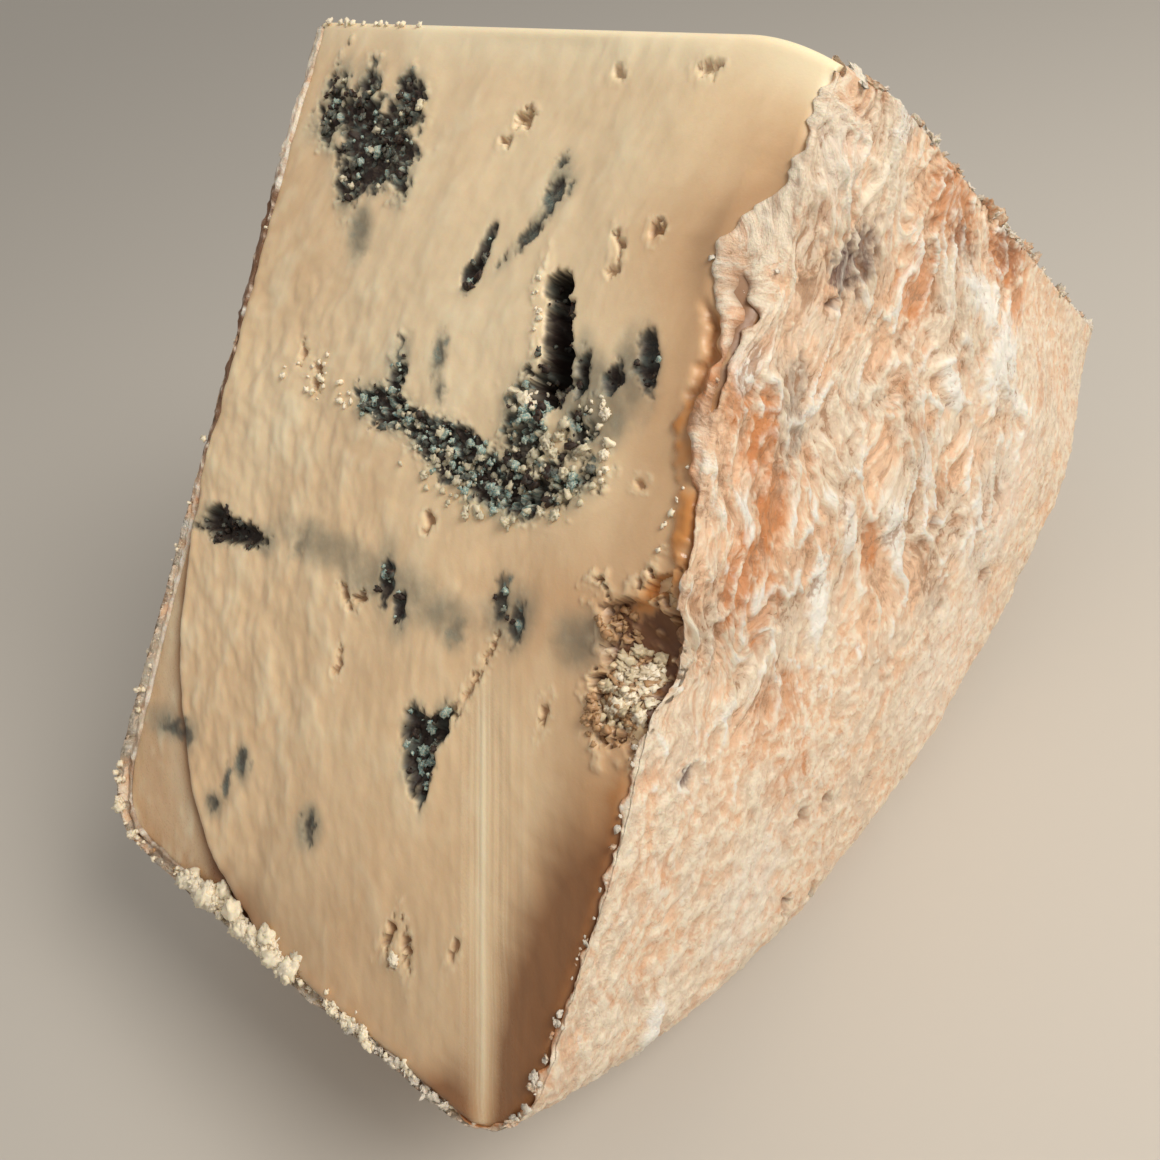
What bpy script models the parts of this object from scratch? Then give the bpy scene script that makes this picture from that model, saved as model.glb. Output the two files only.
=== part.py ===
"""A quarter of a small wheel of blue cheese, standing on its rim with the cut point up.

The wheel's axis runs along X. Two radial knife cuts leave a quarter: the front cut leans back
and faces -Y, the back cut faces +Y, the flat rinds face -X and +X, and the rim is at the bottom.
Blue mould has opened hollows along the needle tracks, which run from rind to rind.
Places on a cut are given in metres as (across, down): across runs along X from the middle of the
wheel, and down runs from the point towards the rim.
"""

import math
from dataclasses import dataclass

import bmesh
import bpy
import numpy as np
from mathutils import Matrix, Vector, noise

# The whole wheel.
WHEEL_RADIUS = 0.100
HALF_HEIGHT = 0.034
RIM_CROWN = 0.0006
ARRIS_RADIUS = 0.0085
RIGHT_SWELL = 0.0046
SWELL_START = 0.030
SWELL_END = 0.076
SWELL_KEPT_TO = math.radians(30)
SWELL_GONE_AT = math.radians(46)
WHEEL_STEPS = 120
FACE_RINGS = 9
ARRIS_STEPS = 5
RIM_RINGS = 9

# The soft unevenness of the rind, and how far the rim is flattened where it rests.
RIND_WAVE = 0.0007
RIND_WAVE_LENGTH = 0.030
REST_FLAT = 0.0012

# The two knife cuts, by their lean from the vertical.
FRONT_LEAN = math.radians(44.8)
BACK_LEAN = math.radians(45.9)
POINT_RISE = 0.0008
CUT_DEPTH = 0.130
CUT_MARGIN = 0.014
CLEAR_OF_POINT = 0.005
FRONT_GRID = (30, 42)
BACK_GRID = (16, 22)
WELD = 0.00005
CUT_WAVE = 0.0005
CUT_WAVE_LENGTH = 0.016

# A second stroke of the knife pared the lower left corner of the front cut, up to a curved crease.
PARED_CENTRE = (0.005, 0.055)
PARED_RADII = (0.0375, 0.045)
PARED_STEP = 0.0007
PARED_FALL = 0.05
PARED_EASE = 0.06
PARED_START = 0.15

# The front cut's edge beside the right rind is worn round near the point.
WORN_AT = (0.0340, 0.0180)
WORN_RADII = (0.0055, 0.0120)
WORN_DEPTH = 0.0030

CREAM = (0.80, 0.64, 0.42, 1.0)
PASTE_ROUGHNESS = 0.55


@dataclass(frozen=True)
class Hollow:
    """An opening in the front cut: its place, its size and how far it leans from straight down."""

    across: float
    down: float
    width: float
    length: float
    depth: float
    lean_deg: float = 0.0


HOLLOWS = (
    Hollow(0.0142, 0.0280, 0.0036, 0.0135, 0.0075, 22),
    Hollow(0.0150, 0.0410, 0.0180, 0.0070, 0.0032, 12),
    Hollow(0.0235, 0.0320, 0.0050, 0.0090, 0.0022, -30),
    Hollow(-0.0030, 0.0400, 0.0105, 0.0042, 0.0026, 14),
    Hollow(-0.0190, 0.0125, 0.0160, 0.0090, 0.0028, 8),
    Hollow(0.0135, 0.0702, 0.0045, 0.0092, 0.0055, 10),
    Hollow(-0.0250, 0.0592, 0.0110, 0.0036, 0.0034, 6),
    Hollow(0.0036, 0.0577, 0.0042, 0.0040, 0.0024, 20),
    Hollow(0.0020, 0.0228, 0.0020, 0.0062, 0.0026, 4),
    Hollow(0.0320, 0.0525, 0.0095, 0.0110, 0.0060, 35),
    Hollow(0.0180, 0.0898, 0.0050, 0.0040, 0.0016, 0),
    Hollow(-0.0018, 0.0603, 0.0040, 0.0018, 0.0012, -20),
)
HOLLOW_ROUGHNESS = 0.22


def clear_scene():
    """Remove whatever the scene starts with."""
    for obj in list(bpy.data.objects):
        bpy.data.objects.remove(obj, do_unlink=True)


def smooth(value):
    """Rise smoothly from 0 to 1 as value does."""
    value = min(max(value, 0.0), 1.0)
    return value * value * (3.0 - 2.0 * value)


def paste_material():
    """The pale paste of the cheese."""
    material = bpy.data.materials.new("paste")
    material.use_nodes = True
    shader = material.node_tree.nodes["Principled BSDF"]
    shader.inputs["Base Color"].default_value = CREAM
    shader.inputs["Roughness"].default_value = PASTE_ROUGHNESS
    shader.inputs["Metallic"].default_value = 0.0
    material.diffuse_color = CREAM
    return material


def add_object(name, bm, helper=False):
    """Turn a bmesh into an object with the given name."""
    mesh = bpy.data.meshes.new(name)
    bm.to_mesh(mesh)
    bm.free()
    obj = bpy.data.objects.new(name, mesh)
    bpy.context.scene.collection.objects.link(obj)
    obj.hide_render = helper
    if helper:
        obj.display_type = "WIRE"
    return obj


def arris(centre_x, centre_r, start, end):
    """The rounded edge between a flat rind and the rim, without its two end points."""
    points = []
    for step in range(1, ARRIS_STEPS):
        angle = start + (end - start) * step / ARRIS_STEPS
        points.append((centre_x + ARRIS_RADIUS * math.cos(angle), centre_r + ARRIS_RADIUS * math.sin(angle)))
    return points


def wheel_profile():
    """Half of the wheel's section, as (x, radius) from the right rind's middle round to the left's."""
    face_end = WHEEL_RADIUS - ARRIS_RADIUS
    radii = [face_end * ring / FACE_RINGS for ring in range(FACE_RINGS + 1)]
    swell = [RIGHT_SWELL * smooth((r - SWELL_START) / (SWELL_END - SWELL_START)) for r in radii]
    right = [(HALF_HEIGHT + rise, r) for r, rise in zip(radii, swell)]
    left = [(-HALF_HEIGHT, r) for r in reversed(radii)]
    rim_right = HALF_HEIGHT + RIGHT_SWELL - ARRIS_RADIUS
    rim_left = ARRIS_RADIUS - HALF_HEIGHT
    rim = []
    for ring in range(RIM_RINGS + 1):
        share = ring / RIM_RINGS
        crown = RIM_CROWN * math.sin(math.pi * share)
        rim.append((rim_right + (rim_left - rim_right) * share, WHEEL_RADIUS + crown))
    round_right = arris(rim_right, face_end, 0.0, math.pi / 2)
    round_left = arris(rim_left, face_end, math.pi / 2, math.pi)
    return right + round_right + rim + round_left + left


def swell_lost(place):
    """How far the swollen right rind sinks back towards the back cut, where it is flat again."""
    turn = math.atan2(place.y, -place.z)
    radius = math.hypot(place.y, place.z)
    swell = RIGHT_SWELL * smooth((radius - SWELL_START) / (SWELL_END - SWELL_START))
    rim_left = ARRIS_RADIUS - HALF_HEIGHT
    rim_right = HALF_HEIGHT + RIGHT_SWELL - ARRIS_RADIUS
    share = min(max((place.x - rim_left) / (rim_right - rim_left), 0.0), 1.0)
    return swell * share * smooth((turn - SWELL_KEPT_TO) / (SWELL_GONE_AT - SWELL_KEPT_TO))


def make_wheel(centre_z):
    """The whole wheel, turned about its axis and then made a little uneven."""
    bm = bmesh.new()
    ring = [bm.verts.new((x, 0.0, -r)) for x, r in wheel_profile()]
    edges = [bm.edges.new(pair) for pair in zip(ring, ring[1:])]
    bmesh.ops.spin(
        bm, geom=ring + edges, cent=(0, 0, 0), axis=(1, 0, 0),
        angle=2 * math.pi, steps=WHEEL_STEPS, use_merge=True,
    )
    bmesh.ops.remove_doubles(bm, verts=bm.verts, dist=1e-6)
    bmesh.ops.recalc_face_normals(bm, faces=bm.faces)
    for vert in bm.verts:
        vert.co.x -= swell_lost(vert.co)
    bm.normal_update()
    moves = [v.normal * RIND_WAVE * noise.noise(v.co / RIND_WAVE_LENGTH) for v in bm.verts]
    for vert, move in zip(bm.verts, moves):
        vert.co += move
    bmesh.ops.translate(bm, verts=bm.verts, vec=(0, 0, centre_z))
    wheel = add_object("cheese_wedge", bm)
    wheel.data.materials.append(paste_material())
    return wheel


def pared_drop(across, down):
    """How far the pared corner of the front cut lies below the rest of it."""
    u = max(PARED_CENTRE[0] - across, 0.0) / PARED_RADII[0]
    v = max(down - PARED_CENTRE[1], 0.0) / PARED_RADII[1]
    beyond = max(math.hypot(u, v) - 1.0, 0.0)
    drop = PARED_STEP * smooth(beyond / PARED_EASE) + PARED_FALL * beyond * PARED_RADII[0]
    return drop * smooth(v / PARED_START)


def worn_drop(across, down):
    """How far the front cut is worn down beside the right rind, near the point."""
    u = (across - WORN_AT[0]) / WORN_RADII[0]
    v = (down - WORN_AT[1]) / WORN_RADII[1]
    return WORN_DEPTH * smooth(1.0 - math.hypot(max(-u, 0.0), v))


def front_relief(across, down):
    """The front cut's height over its own plane."""
    wave = noise.noise(Vector((across, down * 0.4, 0.3)) / CUT_WAVE_LENGTH)
    return CUT_WAVE * wave - pared_drop(across, down) - worn_drop(across, down)


def back_relief(across, down):
    """The back cut's height over its own plane."""
    return CUT_WAVE * noise.noise(Vector((across, down * 0.4, 7.3)) / CUT_WAVE_LENGTH)


def cut_frame(lean, side, point_z):
    """The frame of a cut: X across, Y down along it, Z out of the cheese. side is -1 in front, 1 behind."""
    down = Vector((0.0, side * math.sin(lean), -math.cos(lean)))
    out = Vector((0.0, side * math.cos(lean), math.sin(lean)))
    frame = Matrix.Identity(4)
    for row in range(3):
        frame[row][0] = 1.0 if row == 0 else 0.0
        frame[row][1] = down[row]
        frame[row][2] = out[row]
    frame.translation = Vector((0.0, 0.0, point_z))
    return frame


def knife(name, frame, counts, relief):
    """A block that stands on a cut, with the cut's uneven surface as its under side."""
    bm = bmesh.new()
    bmesh.ops.create_grid(bm, x_segments=counts[0], y_segments=counts[1], size=1.0)
    half_width = HALF_HEIGHT + CUT_MARGIN
    half_length = (WHEEL_RADIUS + 2 * CUT_MARGIN) / 2
    for vert in bm.verts:
        across = vert.co.x * half_width
        down = (vert.co.y + 1.0) * half_length - CUT_MARGIN
        vert.co = Vector((across, down, relief(across, down)))
    base = list(bm.faces)
    grown = bmesh.ops.extrude_face_region(bm, geom=base)
    top = [item for item in grown["geom"] if isinstance(item, bmesh.types.BMVert)]
    for vert in top:
        vert.co.z = CUT_DEPTH
    top_faces = [item for item in grown["geom"] if isinstance(item, bmesh.types.BMFace)]
    bmesh.ops.dissolve_faces(bm, faces=top_faces)
    bmesh.ops.transform(bm, matrix=frame, verts=bm.verts)
    bmesh.ops.recalc_face_normals(bm, faces=bm.faces)
    return add_object(name, bm, helper=True)


def slab(name, low, high):
    """A plain box between two corners."""
    bm = bmesh.new()
    bmesh.ops.create_cube(bm, size=1.0)
    for vert in bm.verts:
        vert.co = Vector([low[i] if vert.co[i] < 0 else high[i] for i in range(3)])
    return add_object(name, bm, helper=True)


def hollow_cutter(index, hollow, frame):
    """A rough pebble that leaves one hollow in the front cut."""
    bm = bmesh.new()
    bmesh.ops.create_icosphere(bm, subdivisions=2, radius=1.0)
    for vert in bm.verts:
        rough = 1.0 + HOLLOW_ROUGHNESS * noise.noise(vert.co * 2.0 + Vector((index * 5.0, 0.0, 0.0)))
        vert.co *= rough
    size = Matrix.Diagonal((hollow.width / 2, hollow.length / 2, hollow.depth, 1.0))
    turn = Matrix.Rotation(math.radians(-hollow.lean_deg), 4, "Z")
    place = Matrix.Translation((hollow.across, hollow.down, front_relief(hollow.across, hollow.down)))
    bmesh.ops.transform(bm, matrix=frame @ place @ turn @ size, verts=bm.verts)
    bmesh.ops.recalc_face_normals(bm, faces=bm.faces)
    return add_object(f"hollow_{index:02d}", bm, helper=True)


def cut_away(target, cutter):
    """Take the cutter's shape out of the target."""
    modifier = target.modifiers.new(cutter.name, "BOOLEAN")
    modifier.operation = "DIFFERENCE"
    modifier.solver = "EXACT"
    modifier.object = cutter


def finish_mesh(obj):
    """Keep the cut mesh without its cutters, and weld the specks that the cuts left."""
    graph = bpy.context.evaluated_depsgraph_get()
    finished = bpy.data.meshes.new_from_object(obj.evaluated_get(graph))
    obj.modifiers.clear()
    obj.data = finished
    bm = bmesh.new()
    bm.from_mesh(finished)
    bmesh.ops.triangulate(bm, faces=bm.faces)
    bmesh.ops.remove_doubles(bm, verts=bm.verts, dist=WELD)
    bmesh.ops.dissolve_degenerate(bm, edges=bm.edges, dist=WELD)
    bmesh.ops.triangulate(bm, faces=bm.faces)
    bm.to_mesh(finished)
    bm.free()


def settle_origin(obj):
    """Put the middle of the box's under side at the origin."""
    points = np.array([vert.co for vert in obj.data.vertices])
    low = points.min(axis=0)
    high = points.max(axis=0)
    middle = Vector(((low[0] + high[0]) / 2, (low[1] + high[1]) / 2, low[2]))
    obj.data.transform(Matrix.Translation(-middle))


def shade(obj):
    """Shade the rinds smooth and keep the knife edges sharp."""
    obj.data.shade_smooth()
    obj.data.set_sharp_from_angle(angle=math.radians(40))


def main():
    """Turn the wheel, cut the quarter out of it and open its hollows."""
    clear_scene()
    centre_z = WHEEL_RADIUS + RIM_CROWN - REST_FLAT
    point_z = centre_z + POINT_RISE
    wedge = make_wheel(centre_z)
    front = cut_frame(FRONT_LEAN, -1, point_z)
    back = cut_frame(BACK_LEAN, 1, point_z)
    reach = 2 * WHEEL_RADIUS
    cutters = [
        knife("front_knife", front, FRONT_GRID, front_relief),
        knife("back_knife", back, BACK_GRID, back_relief),
        slab("top_of_wheel", (-reach, -reach, point_z + CLEAR_OF_POINT), (reach, reach, point_z + reach)),
        slab("rest_flat", (-reach, -reach, -reach), (reach, reach, 0.0)),
    ]
    cutters += [hollow_cutter(i, hollow, front) for i, hollow in enumerate(HOLLOWS)]
    for cutter in cutters:
        cut_away(wedge, cutter)
    bpy.context.view_layer.update()
    finish_mesh(wedge)
    settle_origin(wedge)
    shade(wedge)
    for cutter in cutters:
        bpy.data.objects.remove(cutter, do_unlink=True)


main()
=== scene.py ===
import logging
import math
from dataclasses import dataclass
from enum import Enum

import bpy
import numpy as np
from mathutils import Matrix, Vector


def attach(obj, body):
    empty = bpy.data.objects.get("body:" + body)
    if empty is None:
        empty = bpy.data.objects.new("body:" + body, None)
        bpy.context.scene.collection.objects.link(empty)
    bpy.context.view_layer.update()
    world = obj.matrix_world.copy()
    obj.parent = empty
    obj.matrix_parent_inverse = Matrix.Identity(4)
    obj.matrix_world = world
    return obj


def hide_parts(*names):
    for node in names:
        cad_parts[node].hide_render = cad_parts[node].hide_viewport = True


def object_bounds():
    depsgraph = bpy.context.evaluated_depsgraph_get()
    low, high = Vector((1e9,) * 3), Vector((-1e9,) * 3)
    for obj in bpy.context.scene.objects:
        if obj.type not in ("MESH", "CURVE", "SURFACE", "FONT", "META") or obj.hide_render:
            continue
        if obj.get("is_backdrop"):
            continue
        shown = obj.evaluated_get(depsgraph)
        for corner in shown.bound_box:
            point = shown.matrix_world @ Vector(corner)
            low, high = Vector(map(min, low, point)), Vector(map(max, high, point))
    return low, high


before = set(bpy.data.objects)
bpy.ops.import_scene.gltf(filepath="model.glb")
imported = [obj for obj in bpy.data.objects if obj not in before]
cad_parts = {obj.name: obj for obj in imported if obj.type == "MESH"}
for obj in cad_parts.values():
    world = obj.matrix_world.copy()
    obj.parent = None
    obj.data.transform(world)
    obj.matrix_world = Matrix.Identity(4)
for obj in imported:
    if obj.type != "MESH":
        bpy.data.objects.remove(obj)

"""A quarter of a small wheel of blue cheese, standing on its rim with the cut point up.

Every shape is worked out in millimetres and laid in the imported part's own frame. Places on a cut
are (across, down): across runs along X from the middle of the wheel, and down runs from the point
towards the rim. Places on a rind are (turn, reach): degrees from straight down, and millimetres
from the point.
"""

LOG = logging.getLogger("blue_cheese_wedge")
MM = 0.001
NODE = "cheese_wedge"
POINT_FROM_CORNER = (34.39, 71.14)
FRONT_LEAN = 44.8
BACK_LEAN = 45.9
SEAM_PAST_CORNER = 6.0
SHEET_LAP = 3.0
SHEET_END = 0.2
Triple = tuple[float, float, float]
Colour = Triple
Array = np.ndarray
Marks = dict[str, Array]
Material = bpy.types.Material
Piece = bpy.types.Object
Socket = bpy.types.NodeSocket


# ---------------------------------------------------------------- small sums

def ease(value: Array, low: float, high: float) -> Array:
    """Rise smoothly from 0 at low to 1 at high (low may be the greater)."""
    share = np.clip((value - low) / (high - low), 0.0, 1.0)
    return share * share * (3.0 - 2.0 * share)


def bell(value: Array, middle: float, reach: float) -> Array:
    """A soft bump of height 1 at middle, gone by about twice reach."""
    return np.exp(-(((value - middle) / reach) ** 2))


def at_least(marks: Marks, name: str, value: Array) -> None:
    """Raise one mark to the given values where it is lower."""
    marks[name] = np.maximum(marks[name], value)


def on_plane(across: Array, down: Array) -> Array:
    """Points in a flat sheet, to read noise from."""
    return np.stack([across, down, np.zeros_like(across)], axis=1)


@dataclass(frozen=True)
class Grain:
    """Seeded noise through space, for wrinkles, smears and crumbs."""

    seed: int

    def tables(self) -> tuple[Array, Array, Array]:
        """The shuffled order, the slopes and the scatter that the seed gives."""
        rng = np.random.default_rng(self.seed)
        slopes = rng.normal(size=(256, 3))
        slopes /= np.linalg.norm(slopes, axis=1)[:, None]
        return rng.permutation(256), slopes, rng.random((256, 4))

    @staticmethod
    def key(order: Array, cell: Array) -> Array:
        """A number from 0 to 255 for each cell."""
        first = order[cell[:, 0] & 255]
        second = order[(first + cell[:, 1]) & 255]
        return order[(second + cell[:, 2]) & 255]

    def soft(self, at: Array) -> Array:
        """Smooth noise from about -1 to 1 at each point, one wave to a unit."""
        order, slopes, _ = self.tables()
        cell = np.floor(at).astype(int)
        part = at - cell
        blend = part ** 3 * (part * (part * 6 - 15) + 10)
        total = np.zeros(len(at))
        for corner in range(8):
            step = np.array([corner & 1, corner >> 1 & 1, corner >> 2 & 1])
            weight = np.prod(np.where(step, blend, 1 - blend), axis=1)
            slope = slopes[self.key(order, cell + step)]
            total += weight * np.sum(slope * (part - step), axis=1)
        return total * 1.7

    def cloud(self, at: Array, size: float, octaves: int = 4, keep: float = 0.5) -> Array:
        """Noise on several scales.

        Args:
            at: Points in millimetres.
            size: The width of the largest waves, in millimetres.
            octaves: How many scales there are, each half the last.
            keep: How much of its strength each scale hands on.

        Returns:
            A height from about -1 to 1 for each point.
        """
        total = np.zeros(len(at))
        strength = 1.0
        for octave in range(octaves):
            total += strength * self.soft(at * (2.0 ** octave / size) + 17.3 * octave)
            strength *= keep
        return total

    def ridges(self, at: Array, size: float, octaves: int = 3) -> Array:
        """Sharp-crested noise, from 0 in the hollows to about 1 on the crests."""
        total = np.zeros(len(at))
        strength = 0.6
        for octave in range(octaves):
            wave = 1.0 - np.abs(self.soft(at * (2.0 ** octave / size) + 9.1 * octave))
            total += strength * np.clip(wave, 0, 1) ** 2
            strength *= 0.5
        return total

    def lumps(self, at: Array, size: float) -> tuple[Array, Array]:
        """Rounded lumps packed side by side.

        Args:
            at: Points in millimetres.
            size: How far apart the lumps are, in millimetres.

        Returns:
            How high each point is on its lump, from 0 to 1, and a number from 0 to 1 for the lump.
        """
        order, _, scatter = self.tables()
        spot = at / size
        cell = np.floor(spot).astype(int)
        nearest = np.full(len(at), 9.0)
        second = np.full(len(at), 9.0)
        own = np.zeros(len(at))
        for number in range(27):
            step = np.array([number % 3, number // 3 % 3, number // 9]) - 1
            thrown = scatter[self.key(order, cell + step)]
            gap = np.linalg.norm(cell + step + thrown[:, :3] - spot, axis=1)
            closer = gap < nearest
            second = np.where(closer, nearest, np.minimum(second, gap))
            own = np.where(closer, thrown[:, 3], own)
            nearest = np.where(closer, gap, nearest)
        return np.clip((second - nearest) * 1.6, 0, 1), own


# ---------------------------------------------------------------- the wheel and its cuts

@dataclass(frozen=True)
class Wheel:
    """The whole wheel's section, turned about X."""

    radius: float = 100.0
    half: float = 34.0
    corner: float = 8.5
    swell: float = 4.6
    swell_from: float = 30.0
    swell_to: float = 76.0
    flare: float = 1.3
    flare_at: float = 43.0
    crown: float = 0.6
    point_rise: float = 0.8

    def right_face(self, reach: Array) -> Array:
        """How far out the right rind stands at each reach."""
        swell = self.swell * ease(reach, self.swell_from, self.swell_to)
        return self.half + swell + self.flare * bell(reach, self.flare_at, 8.0)

    def swell_lost(self, at: Array, point: Triple) -> Array:
        """How far the swollen right rind sinks back towards the back cut, where it is flat again."""
        side, depth = at[:, 1] - point[1], point[2] - self.point_rise - at[:, 2]
        turn = np.degrees(np.arctan2(side, depth))
        swell = self.right_face(np.hypot(side, depth)) - self.half
        left_end = self.corner - self.half
        share = (at[:, 0] - point[0] - left_end) / (self.half + self.swell - self.corner - left_end)
        return swell * np.clip(share, 0, 1) * ease(turn, 30.0, 46.0)

    def section(self) -> Array:
        """The section from the right rind's middle round to the left's, as rows of x and radius."""
        face_end = self.radius - self.corner
        radii = np.linspace(0.0, face_end, 120)
        turns = np.linspace(0.0, math.pi / 2, 26)[1:]
        rim_right = self.half + self.swell - self.corner
        rim_left = self.corner - self.half
        share = np.linspace(0.0, 1.0, 40)[1:-1]
        right = np.stack([self.right_face(radii), radii], axis=1)
        over = np.stack([rim_right + self.corner * np.cos(turns),
                         face_end + self.corner * np.sin(turns)], axis=1)
        rim = np.stack([rim_right + (rim_left - rim_right) * share,
                        self.radius + self.crown * np.sin(math.pi * share)], axis=1)
        turns = np.r_[0, turns]
        back = np.stack([rim_left - self.corner * np.sin(turns),
                         face_end + self.corner * np.cos(turns)], axis=1)
        left = np.stack([np.full(119, -self.half), radii[::-1][1:]], axis=1)
        return np.concatenate([right, over, rim, back, left])


@dataclass(frozen=True)
class Outline:
    """The wheel's section with its length run out, so that a place on it is one number."""

    wheel: Wheel

    def table(self) -> tuple[Array, Array, Array]:
        """Lengths along the section, its points, and its outward directions."""
        points = self.wheel.section()
        steps = np.linalg.norm(np.diff(points, axis=0), axis=1)
        run = np.r_[0.0, np.cumsum(steps)]
        along = np.gradient(points, run, axis=0)
        along /= np.linalg.norm(along, axis=1)[:, None]
        return run, points, np.stack([along[:, 1], -along[:, 0]], axis=1)

    def length(self) -> float:
        """The whole run, from the right rind's middle round to the left's."""
        return float(self.table()[0][-1])

    def at(self, run: Array) -> tuple[Array, Array]:
        """The (x, radius) and the outward direction at each run."""
        lengths, points, out = self.table()
        place = np.stack([np.interp(run, lengths, points[:, i]) for i in (0, 1)], axis=1)
        way = np.stack([np.interp(run, lengths, out[:, i]) for i in (0, 1)], axis=1)
        return place, way / np.linalg.norm(way, axis=1)[:, None]


class Side(Enum):
    """Which way a cut faces."""

    FRONT = -1
    BACK = 1


@dataclass(frozen=True)
class Plane:
    """The flat of one knife cut through the wheel's middle."""

    side: Side
    lean: float
    point: Triple
    edge_round: float = 0.9

    @property
    def down(self) -> Array:
        """Down the cut, from the point."""
        return np.array([0.0, self.side.value * math.sin(self.lean), -math.cos(self.lean)])

    @property
    def out(self) -> Array:
        """Straight out of the cheese."""
        return np.array([0.0, self.side.value * math.cos(self.lean), math.sin(self.lean)])

    def place(self, across: Array, down: Array, rise: Array) -> Array:
        """Points of the part from places on the cut and their height over it."""
        cross = np.outer(across, [1.0, 0.0, 0.0])
        return np.array(self.point) + cross + np.outer(down, self.down) + np.outer(rise, self.out)

    def spot(self, across: float, down: float, rise: float) -> Array:
        """One point of the part, like place."""
        return self.place(np.array([across]), np.array([down]), np.array([rise]))[0]

    def read(self, at: Array) -> tuple[Array, Array, Array]:
        """The place on the cut, and the height over it, of points of the part."""
        rest = at - np.array(self.point)
        return rest[:, 0], rest @ self.down, rest @ self.out

    def place_over(self, other: "Plane", across: Array, run: Array, rise: Array) -> Array:
        """Like place, but above the point the surface rounds over onto the other cut."""
        turn = math.pi - self.lean - other.lean
        tangent = self.edge_round * math.tan(turn / 2)
        arc = self.edge_round * turn
        angle = np.clip((tangent - run) / self.edge_round, 0.0, turn)
        middle = np.array(self.point) + tangent * self.down - self.edge_round * self.out
        facing = np.outer(np.cos(angle), self.out) - np.outer(np.sin(angle), self.down)
        rounded = middle + np.outer(across, [1.0, 0.0, 0.0]) + facing * (self.edge_round + rise)[:, None]
        plain = self.place(across, run, rise)
        beyond = other.place(across, 2 * tangent - arc - run, rise)
        out = np.where((run >= tangent)[:, None], plain, rounded)
        return np.where((run <= tangent - arc)[:, None], beyond, out)


# ---------------------------------------------------------------- meshes

class Shape:
    """Points and faces that become one closed piece."""

    def __init__(self) -> None:
        """Start empty."""
        self.points: list[Array] = []
        self.faces: list[list[int]] = []
        self.marks: dict[str, list[Array]] = {}
        self.count = 0

    def add_points(self, points: Array, marks: Marks) -> int:
        """Add points with their marks, and return the number of the first."""
        first = self.count
        for name in marks:
            if name not in self.marks:
                self.marks[name] = [np.zeros((first,) + marks[name].shape[1:])]
        for name, values in self.marks.items():
            given = marks.get(name)
            values.append(given if given is not None else np.zeros((len(points),) + values[0].shape[1:]))
        self.points.append(points)
        self.count += len(points)
        return first

    def add_grid(self, rows: int, columns: int, first: int) -> None:
        """Join a grid of points, given row by row, with four-sided faces."""
        row, column = np.meshgrid(np.arange(rows - 1), np.arange(columns - 1), indexing="ij")
        corner = (first + row * columns + column).ravel()
        quads = np.stack([corner, corner + 1, corner + columns + 1, corner + columns], axis=1)
        self.faces.extend(quads.tolist())

    def close_behind(self, loop: Array, rings: list[Array], middle: Array) -> None:
        """Close the back of an open sheet.

        Args:
            loop: The numbers of the points round the sheet's edge, in order.
            rings: Inner loops of as many points, each further in than the last.
            middle: The point that closes the last ring.
        """
        edge = loop.tolist()
        for ring in rings:
            first = self.add_points(ring, {})
            inner = list(range(first, first + len(ring)))
            for i, start in enumerate(edge):
                after = (i + 1) % len(edge)
                self.faces.append([edge[after], start, inner[i], inner[after]])
            edge = inner
        tip = self.add_points(middle[None, :], {})
        for i, start in enumerate(edge):
            self.faces.append([edge[(i + 1) % len(edge)], start, tip])

    def make(self, name: str, slot: str, material: Material, worn: "Wear") -> Piece:
        """Turn the shape into a piece of the part.

        Args:
            name: The piece's name.
            slot: A material slot's name; not used.
            material: What it is made of.
            worn: How the cheese's corners are worn down, the same for every piece.

        Returns:
            The new object, riding on the part's body.
        """
        points = worn.apply(np.concatenate(self.points))
        mesh = bpy.data.meshes.new(name)
        mesh.from_pydata((points * MM).tolist(), [], self.faces)
        if signed_volume(mesh) < 0:
            mesh.flip_normals()
        for mark, values in self.marks.items():
            data = np.concatenate(values)
            vector = data.ndim > 1
            layer = mesh.attributes.new(mark, "FLOAT_VECTOR" if vector else "FLOAT", "POINT")
            layer.data.foreach_set("vector" if vector else "value", data.astype(np.float32).ravel())
        mesh.shade_smooth()
        mesh.materials.append(material)
        mesh.validate()
        piece = bpy.data.objects.new(name, mesh)
        bpy.context.scene.collection.objects.link(piece)
        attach(piece, "root")
        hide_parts(NODE)
        mesh.calc_loop_triangles()
        LOG.info("%s: %d points, %d triangles", name, len(mesh.vertices), len(mesh.loop_triangles))
        return piece


def signed_volume(mesh: bpy.types.Mesh) -> float:
    """The volume that a closed mesh holds, less than nothing if it is inside out."""
    mesh.calc_loop_triangles()
    corners = np.empty(len(mesh.loop_triangles) * 3, np.int32)
    mesh.loop_triangles.foreach_get("vertices", corners)
    points = np.empty(len(mesh.vertices) * 3, np.float32)
    mesh.vertices.foreach_get("co", points)
    a, b, c = points.reshape(-1, 3)[corners.reshape(-1, 3)].astype(float).transpose(1, 0, 2)
    return float(np.sum(a * np.cross(b, c)) / 6)


def grid_edge(rows: int, columns: int, first: int) -> Array:
    """The numbers of the points round the edge of a grid, in order."""
    top = np.arange(columns)
    right = np.arange(1, rows) * columns + columns - 1
    bottom = (rows - 1) * columns + np.arange(columns - 2, -1, -1)
    left = np.arange(rows - 2, 0, -1) * columns
    return first + np.concatenate([top, right, bottom, left])


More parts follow.
